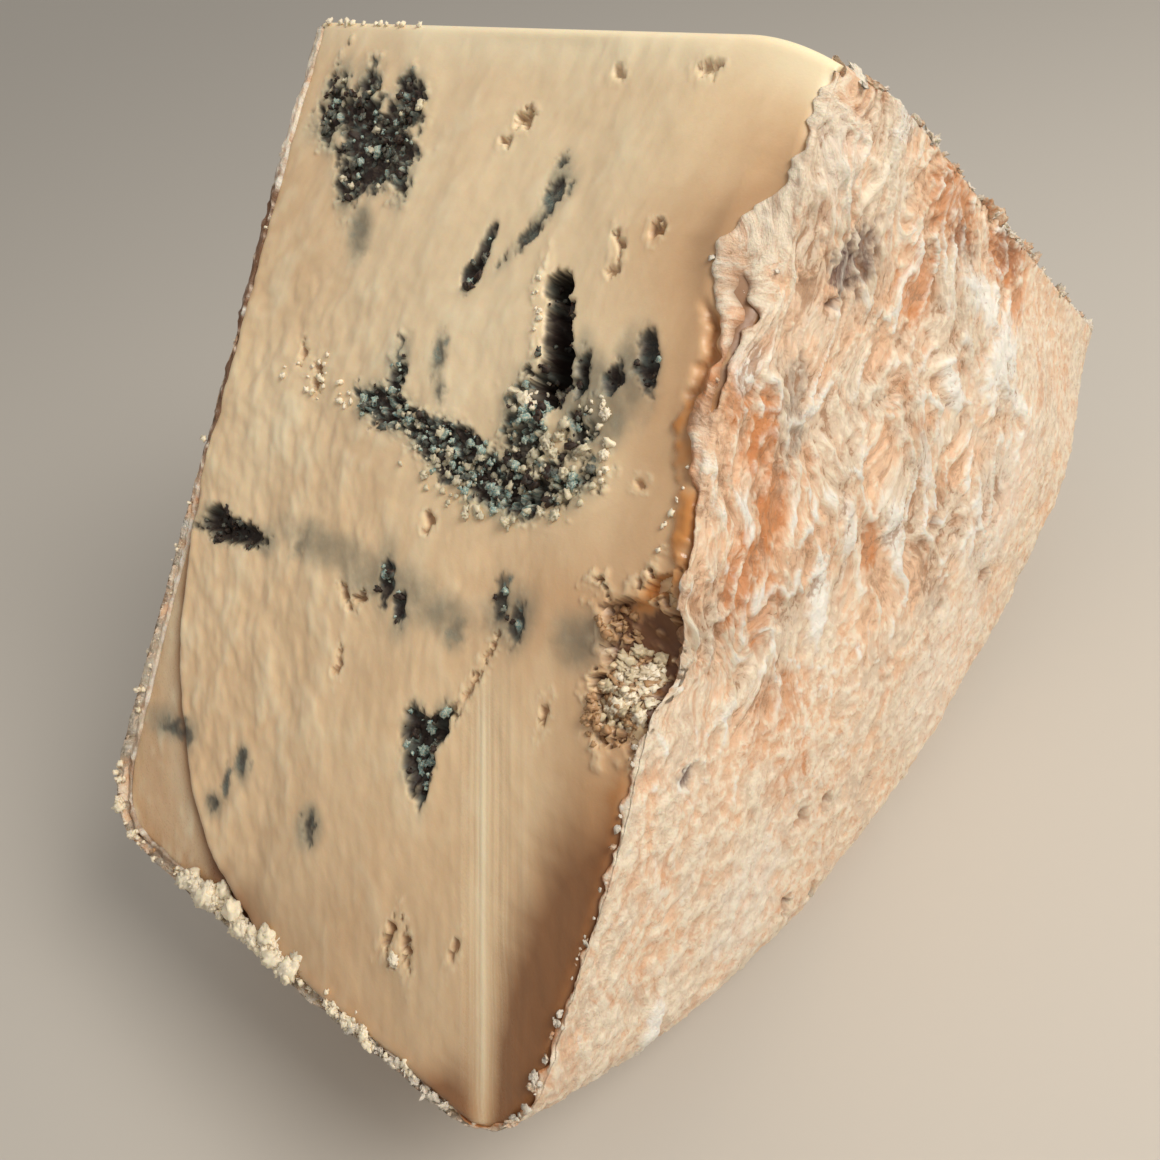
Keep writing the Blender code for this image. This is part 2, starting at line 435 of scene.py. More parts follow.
def uneven_steps(start: float, stop: float, count: int, dense: list[Triple]) -> Array:
    """Places from start to stop, closer together round the given middles.

    Args:
        start: The first place.
        stop: The last place.
        count: How many places.
        dense: A middle, a reach and a strength for each stretch that needs more of them.

    Returns:
        The places in order.
    """
    fine = np.linspace(start, stop, 2000)
    want = np.ones_like(fine)
    for middle, reach, strength in dense:
        want += strength * bell(fine, middle, reach)
    run = np.r_[0.0, np.cumsum((want[1:] + want[:-1]) / 2 * np.diff(fine))]
    return np.interp(np.linspace(0.0, run[-1], count), run, fine)


# ---------------------------------------------------------------- wear and marks

@dataclass(frozen=True)
class Wear:
    """How the front cut's long edges are worn round, for every piece that lies there."""

    front: Plane
    wheel: Wheel
    soft_at: tuple[float, float] = (34.0, 18.0)
    soft_reach: tuple[float, float] = (5.5, 12.0)
    soft_depth: float = 3.0
    torn_at: tuple[float, float] = (36.5, 53.0)
    torn_reach: tuple[float, float] = (6.0, 5.5)
    torn_depth: float = 2.6
    shoulder_from: float = 25.0
    shoulder_drop: float = 2.3
    shoulder_reach: float = 6.0
    fade: float = 7.0

    def apply(self, at: Array) -> Array:
        """The points, moved in where the edges are worn, and none below the board."""
        across, down, rise = self.front.read(at)
        along = np.hypot(np.maximum(self.soft_at[0] - across, 0) / self.soft_reach[0],
                         (down - self.soft_at[1]) / self.soft_reach[1])
        drop = self.soft_depth * ease(1.0 - along, 0.0, 1.0)
        torn = np.hypot(np.maximum(self.torn_at[0] - across, 0) / self.torn_reach[0],
                        (down - self.torn_at[1]) / self.torn_reach[1])
        drop += self.torn_depth * ease(1.0 - torn, 0.0, 0.8)
        drop *= np.exp(-((np.minimum(rise, 0) / self.fade) ** 2))
        depth = self.front.point[2] - at[:, 2]
        slump = self.shoulder_drop * np.clip((across - self.shoulder_from) / 9.0, 0, 1.2) ** 2
        slump *= np.exp(-((np.maximum(depth, 0) / self.shoulder_reach) ** 2))
        moved = at - drop[:, None] * self.front.out
        moved[:, 0] -= self.wheel.swell_lost(at, self.front.point)
        moved[:, 2] -= slump
        moved[:, 2] = np.maximum(moved[:, 2], 0.0)
        return moved


@dataclass(frozen=True)
class Spot:
    """A rough oval on a cut: its middle, its half widths, and its lean from straight down."""

    across: float
    down: float
    half_across: float
    half_down: float
    lean: float = 0.0

    def inside(self, across: Array, down: Array) -> Array:
        """How far inside the oval each place is, in millimetres, less than nothing outside."""
        turn = math.radians(self.lean)
        u, v = across - self.across, down - self.down
        side = u * math.cos(turn) - v * math.sin(turn)
        along = u * math.sin(turn) + v * math.cos(turn)
        share = np.hypot(side / self.half_across, along / self.half_down)
        return (1.0 - share) * min(self.half_across, self.half_down)


class Growth(Enum):
    """What the mould has made of the paste."""

    CRUMBLED = "crumbled"
    HOLLOW = "hollow"
    STAINED = "stained"


@dataclass(frozen=True)
class Vein:
    """One patch of blue mould on a cut, as ovals that run together.

    sink is how deep it lies, dark how black it is, blue how much pale bloom its crumbs carry, halo
    how far its grey-green stain reaches, ragged how uneven its edge is, and crumbs how many lie in it.
    """

    growth: Growth
    spots: tuple[Spot, ...]
    gaps: tuple[Spot, ...] = ()
    sink: float = 1.2
    dark: float = 1.0
    blue: float = 0.4
    halo: float = 1.6
    ragged: float = 0.7
    soft: float = 0.35
    crumbs: float = 1.0

    def inside(self, across: Array, down: Array) -> Array:
        """How far inside the patch each place is, in millimetres."""
        deep = np.max([spot.inside(across, down) for spot in self.spots], axis=0)
        for gap in self.gaps:
            deep = np.minimum(deep, -gap.inside(across, down))
        return deep


@dataclass(frozen=True)
class Tear:
    """A small opening in the paste with a pale lip."""

    across: float
    down: float
    half_across: float
    half_down: float
    lean: float
    depth: float
    brown: float = 0.8
    lip: float = 0.9


FRONT_VEINS: tuple[Vein, ...] = (
    Vein(Growth.CRUMBLED, (Spot(-21.0, 11.6, 7.6, 3.6, -4), Spot(-18.2, 15.2, 4.6, 3.4),
         Spot(-27.4, 9.0, 1.5, 3.2, 10), Spot(-22.0, 8.6, 1.5, 3.0), Spot(-14.6, 9.4, 2.4, 3.6, 14),
         Spot(-20.6, 18.2, 1.5, 2.4, 14), Spot(-13.0, 15.0, 1.5, 2.8, 12)),
         gaps=(Spot(-24.4, 13.4, 1.4, 0.9), Spot(-18.4, 9.0, 0.9, 2.0, 8), Spot(-12.6, 11.4, 1.0, 1.2)),
         sink=1.3, blue=0.34, halo=1.9, ragged=1.2, soft=0.7, crumbs=0.4),
    Vein(Growth.CRUMBLED, (Spot(-5.0, 40.2, 4.4, 1.9, -6), Spot(-4.8, 36.8, 0.9, 2.4, 6),
         Spot(1.2, 41.4, 3.4, 1.5, -8), Spot(6.6, 42.4, 4.8, 2.7, -8), Spot(12.8, 43.6, 5.8, 2.5, -4)),
         sink=1.5, blue=0.62, halo=1.5, ragged=0.9),
    Vein(Growth.CRUMBLED, (Spot(14.4, 38.0, 2.4, 4.6, 18), Spot(20.0, 41.4, 3.6, 2.0, 30),
         Spot(20.6, 36.2, 1.4, 2.0, 30)),
         gaps=(Spot(17.8, 38.8, 1.7, 2.8, 20), Spot(10.2, 40.0, 1.0, 1.6, 22),
         Spot(21.4, 39.4, 2.0, 1.3)), sink=1.6, dark=0.85, blue=0.5, halo=2.0, ragged=1.5, soft=0.6),
    Vein(Growth.HOLLOW, (Spot(15.0, 29.4, 1.8, 6.0, 20), Spot(13.0, 24.2, 1.7, 1.6),
         Spot(15.6, 33.4, 2.2, 2.0)),
         sink=6.5, blue=0.1, halo=0.5, ragged=0.5, soft=0.2),
    Vein(Growth.HOLLOW, (Spot(2.0, 22.9, 0.72, 3.1, -9), Spot(1.2, 24.9, 1.1, 1.4, -10)),
         sink=2.2, blue=0.3, halo=0.9, ragged=0.3, soft=0.25),
    Vein(Growth.HOLLOW, (Spot(13.6, 71.6, 2.0, 3.7, 12), Spot(11.6, 69.0, 1.0, 2.0),
         Spot(15.0, 68.0, 1.0, 2.0), Spot(15.2, 74.6, 0.7, 1.5, 14)),
         sink=2.3, blue=0.5, halo=1.0, ragged=0.6),
    Vein(Growth.HOLLOW, (Spot(-24.8, 59.8, 6.0, 1.5, 7), Spot(-28.0, 59.2, 2.4, 1.7, 10)),
         sink=2.6, dark=0.97, blue=0.0, halo=1.2, ragged=0.5),
    Vein(Growth.HOLLOW, (Spot(25.6, 29.0, 1.15, 2.7, 18), Spot(22.4, 31.2, 1.0, 1.3, 10),
         Spot(18.9, 31.4, 0.8, 1.9, 16)),
         sink=1.9, blue=0.25, halo=1.4, ragged=0.5),
    Vein(Growth.HOLLOW, (Spot(2.4, 57.4, 0.9, 2.3, 14), Spot(5.4, 59.0, 0.9, 1.6, 10)),
         sink=1.3, blue=0.5, halo=1.8, ragged=0.5),
    Vein(Growth.HOLLOW, (Spot(17.6, 54.0, 0.9, 1.8, 16), Spot(20.2, 55.4, 0.9, 1.6, 20)),
         sink=0.9, dark=0.85, blue=0.3, halo=1.8, ragged=0.6, soft=0.6),
    Vein(Growth.STAINED, (Spot(8.8, 15.4, 0.85, 2.4, -4), Spot(7.4, 19.6, 0.65, 3.0, -34)),
         sink=0.5, dark=0.95, blue=0.3, halo=0.9, ragged=0.7, soft=0.4),
    Vein(Growth.STAINED, (Spot(-16.8, 22.6, 1.3, 2.4, 14),),
         sink=0.1, dark=0.42, blue=0.3, halo=1.4, soft=1.2),
    Vein(Growth.STAINED, (Spot(0.4, 33.4, 0.8, 1.8, 10), Spot(1.8, 36.6, 0.5, 1.1, 20)),
         sink=0.25, dark=0.6, blue=0.9, halo=0.7, soft=0.6),
    Vein(Growth.STAINED, (Spot(-8.0, 56.6, 5.6, 1.5, 0), Spot(2.6, 57.4, 5.4, 1.9, 4),
         Spot(11.0, 57.6, 3.0, 1.3, 10)),
         sink=0.1, dark=0.30, blue=0.2, halo=1.8, soft=1.8),
    Vein(Growth.STAINED, (Spot(19.0, 55.0, 2.6, 2.3), Spot(28.0, 54.4, 2.4, 2.0)),
         sink=0.1, dark=0.32, blue=0.2, halo=2.2, soft=1.8),
    Vein(Growth.STAINED, (Spot(21.0, 33.6, 4.6, 3.6, -30), Spot(24.6, 30.4, 2.0, 3.4, 20)),
         sink=0.3, dark=0.34, blue=0.35, halo=1.8, soft=1.6),
    Vein(Growth.STAINED, (Spot(-23.1, 84.6, 1.5, 1.4), Spot(-26.6, 85.4, 2.4, 0.9, 10)),
         sink=0.1, dark=0.72, blue=0.1, halo=2.0, soft=0.9),
    Vein(Growth.STAINED, (Spot(-11.6, 83.4, 1.0, 1.4, 20), Spot(-13.2, 86.6, 0.4, 1.2, 20)),
         sink=0.2, dark=0.8, blue=0.3, halo=1.6, ragged=0.7, soft=0.6),
    Vein(Growth.STAINED, (Spot(-14.0, 89.7, 1.1, 0.9),),
         sink=0.2, dark=0.85, blue=0.1, halo=1.6, ragged=0.6, soft=0.6),
    Vein(Growth.STAINED, (Spot(1.6, 85.1, 1.1, 1.3, 16),),
         sink=0.3, dark=0.85, blue=0.3, halo=1.5, ragged=0.9, soft=0.6),
    Vein(Growth.STAINED, (Spot(-12.4, 57.6, 0.9, 1.2), Spot(13.4, 58.4, 1.1, 1.5, 20)),
         sink=0.1, dark=0.4, blue=0.5, halo=1.2, soft=1.0),
)

FRONT_TEARS: tuple[Tear, ...] = tuple(Tear(*row) for row in (
    (-2.6, 60.5, 0.5, 1.3, 50, 0.9), (-0.9, 60.0, 0.45, 1.0, -50, 0.9), (-1.1, 67.4, 0.3, 0.8, 10, 0.6),
    (16.6, 89.4, 0.42, 1.5, -12, 1.2, 0.9), (19.0, 89.6, 0.40, 1.5, 30, 1.1, 0.9),
    (17.9, 91.4, 0.7, 0.5, 0, 1.0, 0.8), (17.3, 62.6, 0.28, 2.6, -14, 0.5, 0.4),
    (16.0, 65.6, 0.3, 1.0, -30, 0.5, 0.4), (26.5, 61.9, 0.3, 0.8, 10, 0.5),
    (24.9, 86.9, 0.3, 0.8, 0, 0.5), (2.4, 8.9, 1.0, 0.9, 20, 1.1, 0.45),
    (0.7, 11.4, 0.5, 0.5, 0, 0.6, 0.4), (12.5, 4.1, 0.5, 0.6, 10, 0.5, 0.3),
    (22.6, 3.4, 0.9, 0.6, 10, 0.6, 0.3), (22.1, 17.6, 0.6, 0.7, 0, 0.8, 0.6),
    (18.5, 19.3, 0.45, 0.9, 20, 0.7, 0.5), (18.9, 21.6, 0.6, 0.6, 0, 0.6, 0.5),
    (29.0, 39.2, 0.5, 0.5, 0, 0.4, 0.2), (-17.6, 39.0, 0.5, 1.3, 14, 0.9, 0.8),
    (-21.0, 37.4, 0.4, 1.0, 14, 0.6, 0.5), (5.6, 49.6, 0.7, 0.8, 20, 0.7, 0.7),
))

BACK_VEINS: tuple[Vein, ...] = (
    Vein(Growth.CRUMBLED, (Spot(-14.0, 34.0, 7.5, 2.2, 8), Spot(-5.0, 36.0, 4.5, 2.8, -6),
         Spot(-9.0, 31.0, 1.2, 3.4, 12)),
         sink=1.4, blue=0.5, ragged=0.9),
    Vein(Growth.CRUMBLED, (Spot(15.0, 16.5, 6.0, 3.2, 10), Spot(20.0, 19.0, 2.6, 3.2),
         Spot(10.5, 13.5, 1.4, 2.6, -10)),
         sink=1.4, blue=0.35, ragged=1.0),
    Vein(Growth.HOLLOW, (Spot(-19.0, 68.5, 1.6, 5.2, -14), Spot(-17.4, 64.4, 1.3, 1.6)),
         sink=3.2, blue=0.3, ragged=0.5),
    Vein(Growth.HOLLOW, (Spot(12.5, 48.0, 4.6, 1.5, 6), Spot(8.4, 47.2, 1.8, 1.6)),
         sink=2.4, blue=0.2, ragged=0.5),
    Vein(Growth.CRUMBLED, (Spot(7.0, 77.0, 6.5, 1.9, -6), Spot(12.0, 79.6, 3.0, 1.8, 10)),
         sink=1.2, blue=0.5, ragged=0.9),
    Vein(Growth.STAINED, (Spot(-10.0, 52.6, 8.0, 1.7, 3), Spot(22.0, 58.0, 4.0, 1.8, 8)),
         sink=0.1, dark=0.35, soft=1.8),
    Vein(Growth.STAINED, (Spot(-4.0, 88.0, 1.6, 1.4), Spot(24.0, 84.0, 1.4, 1.8)),
         sink=0.1, dark=0.5, soft=1.2),
    Vein(Growth.STAINED, (Spot(-24.0, 20.0, 1.5, 2.6, 14), Spot(2.0, 22.0, 1.0, 2.8, -20)),
         sink=0.2, dark=0.5, soft=1.0),
)

BACK_TEARS: tuple[Tear, ...] = tuple(Tear(*row) for row in (
    (-6.0, 12.0, 0.8, 0.8, 0, 0.9), (3.0, 60.0, 0.5, 2.4, 20, 0.9), (-22.0, 46.0, 0.6, 1.6, -20, 1.0),
    (18.0, 68.0, 0.7, 1.8, 30, 1.0), (26.0, 34.0, 0.5, 1.2, 10, 0.8), (-12.0, 82.0, 0.6, 1.6, 40, 0.8),
))


# ---------------------------------------------------------------- finishes

class Brush:
    """Lays out the nodes of one material."""

    def __init__(self, name: str) -> None:
        """Start a material with its plain shader."""
        self.material = bpy.data.materials.new(name)
        self.material.use_nodes = True
        self.tree = self.material.node_tree
        self.shader = self.tree.nodes["Principled BSDF"]

    def link(self, source: object, socket: Socket) -> None:
        """Feed a socket from another, or set it to a plain number or colour."""
        if isinstance(source, Socket):
            self.tree.links.new(source, socket)
        elif isinstance(source, tuple) and len(source) == 3 and socket.type == "RGBA":
            socket.default_value = (*source, 1.0)
        else:
            socket.default_value = source

    def feed(self, name: str, source: object) -> None:
        """Feed one of the shader's own inputs."""
        self.link(source, self.shader.inputs[name])

    def add(self, kind: str, feeds: dict[str | int, object], **settings: object) -> bpy.types.Node:
        """Add a node.

        Args:
            kind: Its type.
            feeds: What each of its inputs is fed with.
            settings: Its own settings.

        Returns:
            The node.
        """
        node = self.tree.nodes.new(kind)
        for name, value in settings.items():
            setattr(node, name, value)
        for socket, source in feeds.items():
            self.link(source, node.inputs[socket])
        return node

    def mark(self, name: str, vector: bool = False) -> Socket:
        """A mark that the mesh carries."""
        node = self.add("ShaderNodeAttribute", {}, attribute_name=name)
        return node.outputs["Vector" if vector else "Fac"]

    def place(self) -> Socket:
        """The place on the part, in millimetres."""
        metres = self.add("ShaderNodeTexCoord", {}).outputs["Object"]
        return self.stretch(metres, (1 / MM, 1 / MM, 1 / MM))

    def stretch(self, source: Socket, by: Triple) -> Socket:
        """A place, multiplied along each axis."""
        return self.add("ShaderNodeVectorMath", {0: source, 1: by}, operation="MULTIPLY").outputs[0]

    def noise(self, at: Socket, scale: float, detail: float = 4.0, rough: float = 0.55,
              bend: float = 0.0) -> Socket:
        """Cloudy noise from 0 to 1."""
        feeds = {"Vector": at, "Scale": scale, "Detail": detail, "Roughness": rough, "Distortion": bend}
        return self.add("ShaderNodeTexNoise", feeds).outputs["Fac"]

    def ramp(self, source: object, low: float, high: float, floor: float = 0.0,
             top: float = 1.0) -> Socket:
        """Spread a range of numbers smoothly over another."""
        feeds = {"Value": source, "From Min": low, "From Max": high, "To Min": floor, "To Max": top}
        return self.add("ShaderNodeMapRange", feeds, interpolation_type="SMOOTHSTEP").outputs["Result"]

    def sum(self, operation: str, first: object, second: object, held: bool = False) -> Socket:
        """Two numbers put together by one operation, held from 0 to 1 if asked."""
        feeds = {0: first, 1: second}
        return self.add("ShaderNodeMath", feeds, operation=operation, use_clamp=held).outputs[0]

    def mix(self, share: object, first: object, second: object) -> Socket:
        """A colour between two others."""
        feeds = {"Factor": share, 6: first, 7: second}
        return self.add("ShaderNodeMix", feeds, data_type="RGBA").outputs[2]

    def blend(self, share: object, first: object, second: object) -> Socket:
        """A number between two others."""
        return self.add("ShaderNodeMix", {0: share, 2: first, 3: second}).outputs[0]

    def bump(self, height: Socket, depth: float, strength: float, under: Socket | None = None) -> Socket:
        """Fine relief, depth in millimetres."""
        feeds = {"Distance": depth * MM, "Strength": strength, "Height": height}
        if under is not None:
            feeds["Normal"] = under
        return self.add("ShaderNodeBump", feeds).outputs["Normal"]


@dataclass(frozen=True)
class PasteFinish:
    """The moist cut paste, with its mould, stains and pale crumbs, and painted shade and painted highlights
    in its colour.
    """

    name: str = "paste_cut"
    pale: Colour = (0.92, 0.685, 0.42)
    deep: Colour = (0.80, 0.57, 0.335)
    tan: Colour = (0.64, 0.37, 0.185)
    cream: Colour = (0.96, 0.81, 0.55)
    grey: Colour = (0.205, 0.235, 0.185)
    amber: Colour = (0.70, 0.29, 0.075)
    brown: Colour = (0.16, 0.06, 0.022)
    # Colour of the paste's darker tone and of painted shade.
    dusk: Colour = (0.20, 0.078, 0.026)
    black: Colour = (0.024, 0.012, 0.009)
    slate: Colour = (0.058, 0.040, 0.028)
    shade: Colour = (0.115, 0.145, 0.122)
    milk: Colour = (0.94, 0.87, 0.72)
    # Near-black painted shade for the bottoms of the hollows.
    void: Colour = (0.020, 0.010, 0.007)
    bloom: Colour = (0.64, 0.62, 0.48)
    teal: Colour = (0.17, 0.33, 0.32)
    scatter: float = 0.16
    scatter_depth: float = 0.0022

    def build(self) -> Material:
        """The material."""
        brush = Brush(self.name)
        lay = brush.mark("lay", vector=True)
        smear = brush.noise(brush.stretch(lay, (0.20, 0.11, 0.3)), 1.0, 5.0, 0.55, 0.5)
        streak = brush.noise(brush.stretch(lay, (0.7, 0.42, 0.5)), 1.0, 3.0, 0.5, 0.5)
        scratch = brush.noise(brush.stretch(lay, (4.2, 0.03, 0.5)), 1.0, 2.0, 0.6)
        fine = brush.noise(lay, 2.6, 4.0, 0.65)
        speck = brush.noise(lay, 6.5, 3.0, 0.7)
        share = brush.sum("ADD", brush.ramp(smear, 0.32, 0.70, 0.0, 0.75),
                          brush.ramp(streak, 0.3, 0.7, -0.1, 0.25), True)
        colour = brush.mix(share, self.pale, self.deep)
        colour = brush.mix(brush.mark("tan"), colour, self.tan)
        # Painted highlight: cream along the scored lines of the knife's glossy streak.
        painted_sheen_lines = brush.sum("MULTIPLY", brush.mark("scored"), brush.ramp(scratch, 0.50, 0.64), True)
        colour = brush.mix(brush.sum("MULTIPLY", painted_sheen_lines, 0.8), colour, self.cream)
        colour = brush.mix(brush.mark("cream"), colour, self.cream)
        halo = brush.sum("MULTIPLY", brush.mark("halo"), brush.ramp(fine, 0.2, 0.6, 0.75, 1.0), True)
        colour = brush.mix(halo, colour, self.grey)
        colour = brush.mix(brush.mark("brown"), colour, self.brown)
        colour = brush.mix(brush.mark("amber"), colour, self.amber)
        # Painted shade, mixed with the paste's own darker tone, where the cut's marks call for it.
        colour = brush.mix(brush.sum("MULTIPLY", brush.mark("dusk"), 0.85), colour, self.dusk)
        mould = brush.mark("mould")
        rough_dark = brush.mix(brush.ramp(fine, 0.42, 0.62), self.black, self.slate)
        patchy = brush.ramp(brush.noise(lay, 0.75, 4.0, 0.6), 0.52, 0.64, 0.0, 0.5)
        rough_dark = brush.mix(patchy, rough_dark, self.shade)
        verge = brush.sum("MULTIPLY", brush.ramp(mould, 0.10, 0.80), 0.55)
        colour = brush.mix(verge, colour, self.shade)
        colour = brush.mix(mould, colour, rough_dark)
        # Painted shade: near black in the bottoms of the hollows.
        colour = brush.mix(brush.mark("void"), colour, self.void)
        bloom_colour = brush.mix(brush.ramp(speck, 0.40, 0.62), self.teal, self.bloom)
        dust = brush.sum("MULTIPLY", brush.mark("bloom"), brush.ramp(fine, 0.3, 0.55, 0.5, 1.0), True)
        colour = brush.mix(dust, colour, bloom_colour)
        colour = brush.mix(brush.mark("wax"), colour, self.milk)
        brush.feed("Base Color", colour)
        shine = brush.sum("ADD", brush.ramp(fine, 0.3, 0.7, 0.34, 0.50),
                          brush.sum("MULTIPLY", mould, 0.25), True)
        shine = brush.sum("SUBTRACT", shine, brush.sum("MULTIPLY", brush.mark("gloss"), 0.28), True)
        brush.feed("Roughness", shine)
        brush.feed("Subsurface Weight", self.scatter)
        brush.feed("Subsurface Radius", (1.0, 0.45, 0.18))
        brush.feed("Subsurface Scale", self.scatter_depth)
        brush.feed("Specular IOR Level", 0.42)
        normal = brush.bump(streak, 0.10, 0.3)
        brush.feed("Normal", brush.bump(fine, 0.05, 0.4, normal))
        return brush.material


@dataclass(frozen=True)
class RindFinish:
    """The washed, wrinkled rind: peach and orange under cream yeast and white mould, with painted shade in
    its folds.
    """

    name: str = "rind_skin"
    peach: Colour = (0.89, 0.585, 0.375)
    cream: Colour = (0.97, 0.83, 0.64)
    sand: Colour = (0.78, 0.62, 0.46)
    orange: Colour = (0.66, 0.265, 0.095)
    white: Colour = (0.98, 0.93, 0.83)
    purple: Colour = (0.13, 0.075, 0.07)
    brown: Colour = (0.17, 0.075, 0.03)
    # Colour of the rind's low folds: partly its own orange-brown, partly painted shade.
    rust_and_fold_shade: Colour = (0.44, 0.24, 0.13)
    scatter: float = 0.12

    def build(self) -> Material:
        """The material."""
        brush = Brush(self.name)
        at = brush.place()
        lay = brush.mark("lay", vector=True)
        cloud = brush.noise(at, 0.11, 5.0, 0.6, 0.5)
        patch = brush.noise(lay, 0.40, 6.0, 0.65, 0.5)
        crust = brush.blend(brush.mark("calm"), brush.noise(lay, 1.30, 6.0, 0.7, 0.4),
                            brush.noise(at, 0.85, 6.0, 0.7, 0.3))
        speck = brush.noise(at, 4.2, 4.0, 0.7)
        rise = brush.mark("rise")
        colour = brush.mix(brush.ramp(cloud, 0.40, 0.60), self.peach, self.sand)
        crest = brush.sum("ADD", rise, brush.ramp(crust, 0.3, 0.7, -0.30, 0.30), True)
        colour = brush.mix(brush.ramp(crest, 0.42, 0.80, 0.0, 0.92), colour, self.cream)
        flush = brush.sum("ADD", brush.mark("orange"), brush.ramp(patch, 0.52, 0.68, 0.0, 0.5), True)
        flush = brush.sum("MULTIPLY", flush, brush.ramp(crest, 0.55, 1.0, 1.0, 0.3), True)
        colour = brush.mix(flush, colour, self.orange)
        stain = brush.sum("MULTIPLY", brush.mark("purple"), brush.ramp(crust, 0.35, 0.65, 1.0, 0.55), True)
        colour = brush.mix(stain, colour, self.purple)
        bloom = brush.sum("ADD", brush.mark("white"), brush.ramp(patch, 0.40, 0.28, 0.0, 0.5), True)
        bloom = brush.sum("MULTIPLY", bloom, brush.ramp(crust, 0.25, 0.45, 0.6, 1.0), True)
        bloom = brush.sum("ADD", bloom, brush.mark("wax"), True)
        colour = brush.mix(bloom, colour, self.white)
        # Painted shade in the low folds, away from calm patches, mixed with the rind's own orange-brown.
        hollow = brush.sum("MULTIPLY", brush.ramp(crest, 0.36, 0.08),
                           brush.ramp(cloud, 0.30, 0.60, 0.35, 0.85), True)
        hollow = brush.sum("MULTIPLY", hollow, brush.ramp(brush.mark("calm"), 0.1, 0.85, 1.0, 0.35), True)
        colour = brush.mix(hollow, colour, self.rust_and_fold_shade)
        colour = brush.mix(brush.mark("brown"), colour, self.brown)
        colour = brush.mix(brush.ramp(speck, 0.62, 0.74, 0.0, 0.55), colour, self.white)
        brush.feed("Base Color", colour)
        brush.feed("Roughness", brush.ramp(crust, 0.3, 0.7, 0.22, 0.52))
        brush.feed("Subsurface Weight", self.scatter)
        brush.feed("Subsurface Radius", (1.0, 0.42, 0.2))
        brush.feed("Subsurface Scale", 0.0016)
        normal = brush.bump(patch, 0.55, 0.5)
        normal = brush.bump(crust, 0.50, 0.8, normal)
        brush.feed("Normal", brush.bump(speck, 0.16, 0.8, normal))
        return brush.material


@dataclass(frozen=True)
class FloorFinish:
    """A plain pale board for the cheese to stand on."""

    name: str = "pale_floor"
    tone: Colour = (0.60, 0.56, 0.50)

    def build(self) -> Material:
        """The material."""
        brush = Brush(self.name)
        brush.feed("Base Color", self.tone)
        brush.feed("Roughness", 0.85)
        brush.feed("Specular IOR Level", 0.2)
        return brush.material


# ---------------------------------------------------------------- the cut faces

PASTE_MARKS = ("tan", "cream", "halo", "brown", "amber", "mould", "bloom", "gloss", "dusk", "scored", "void")


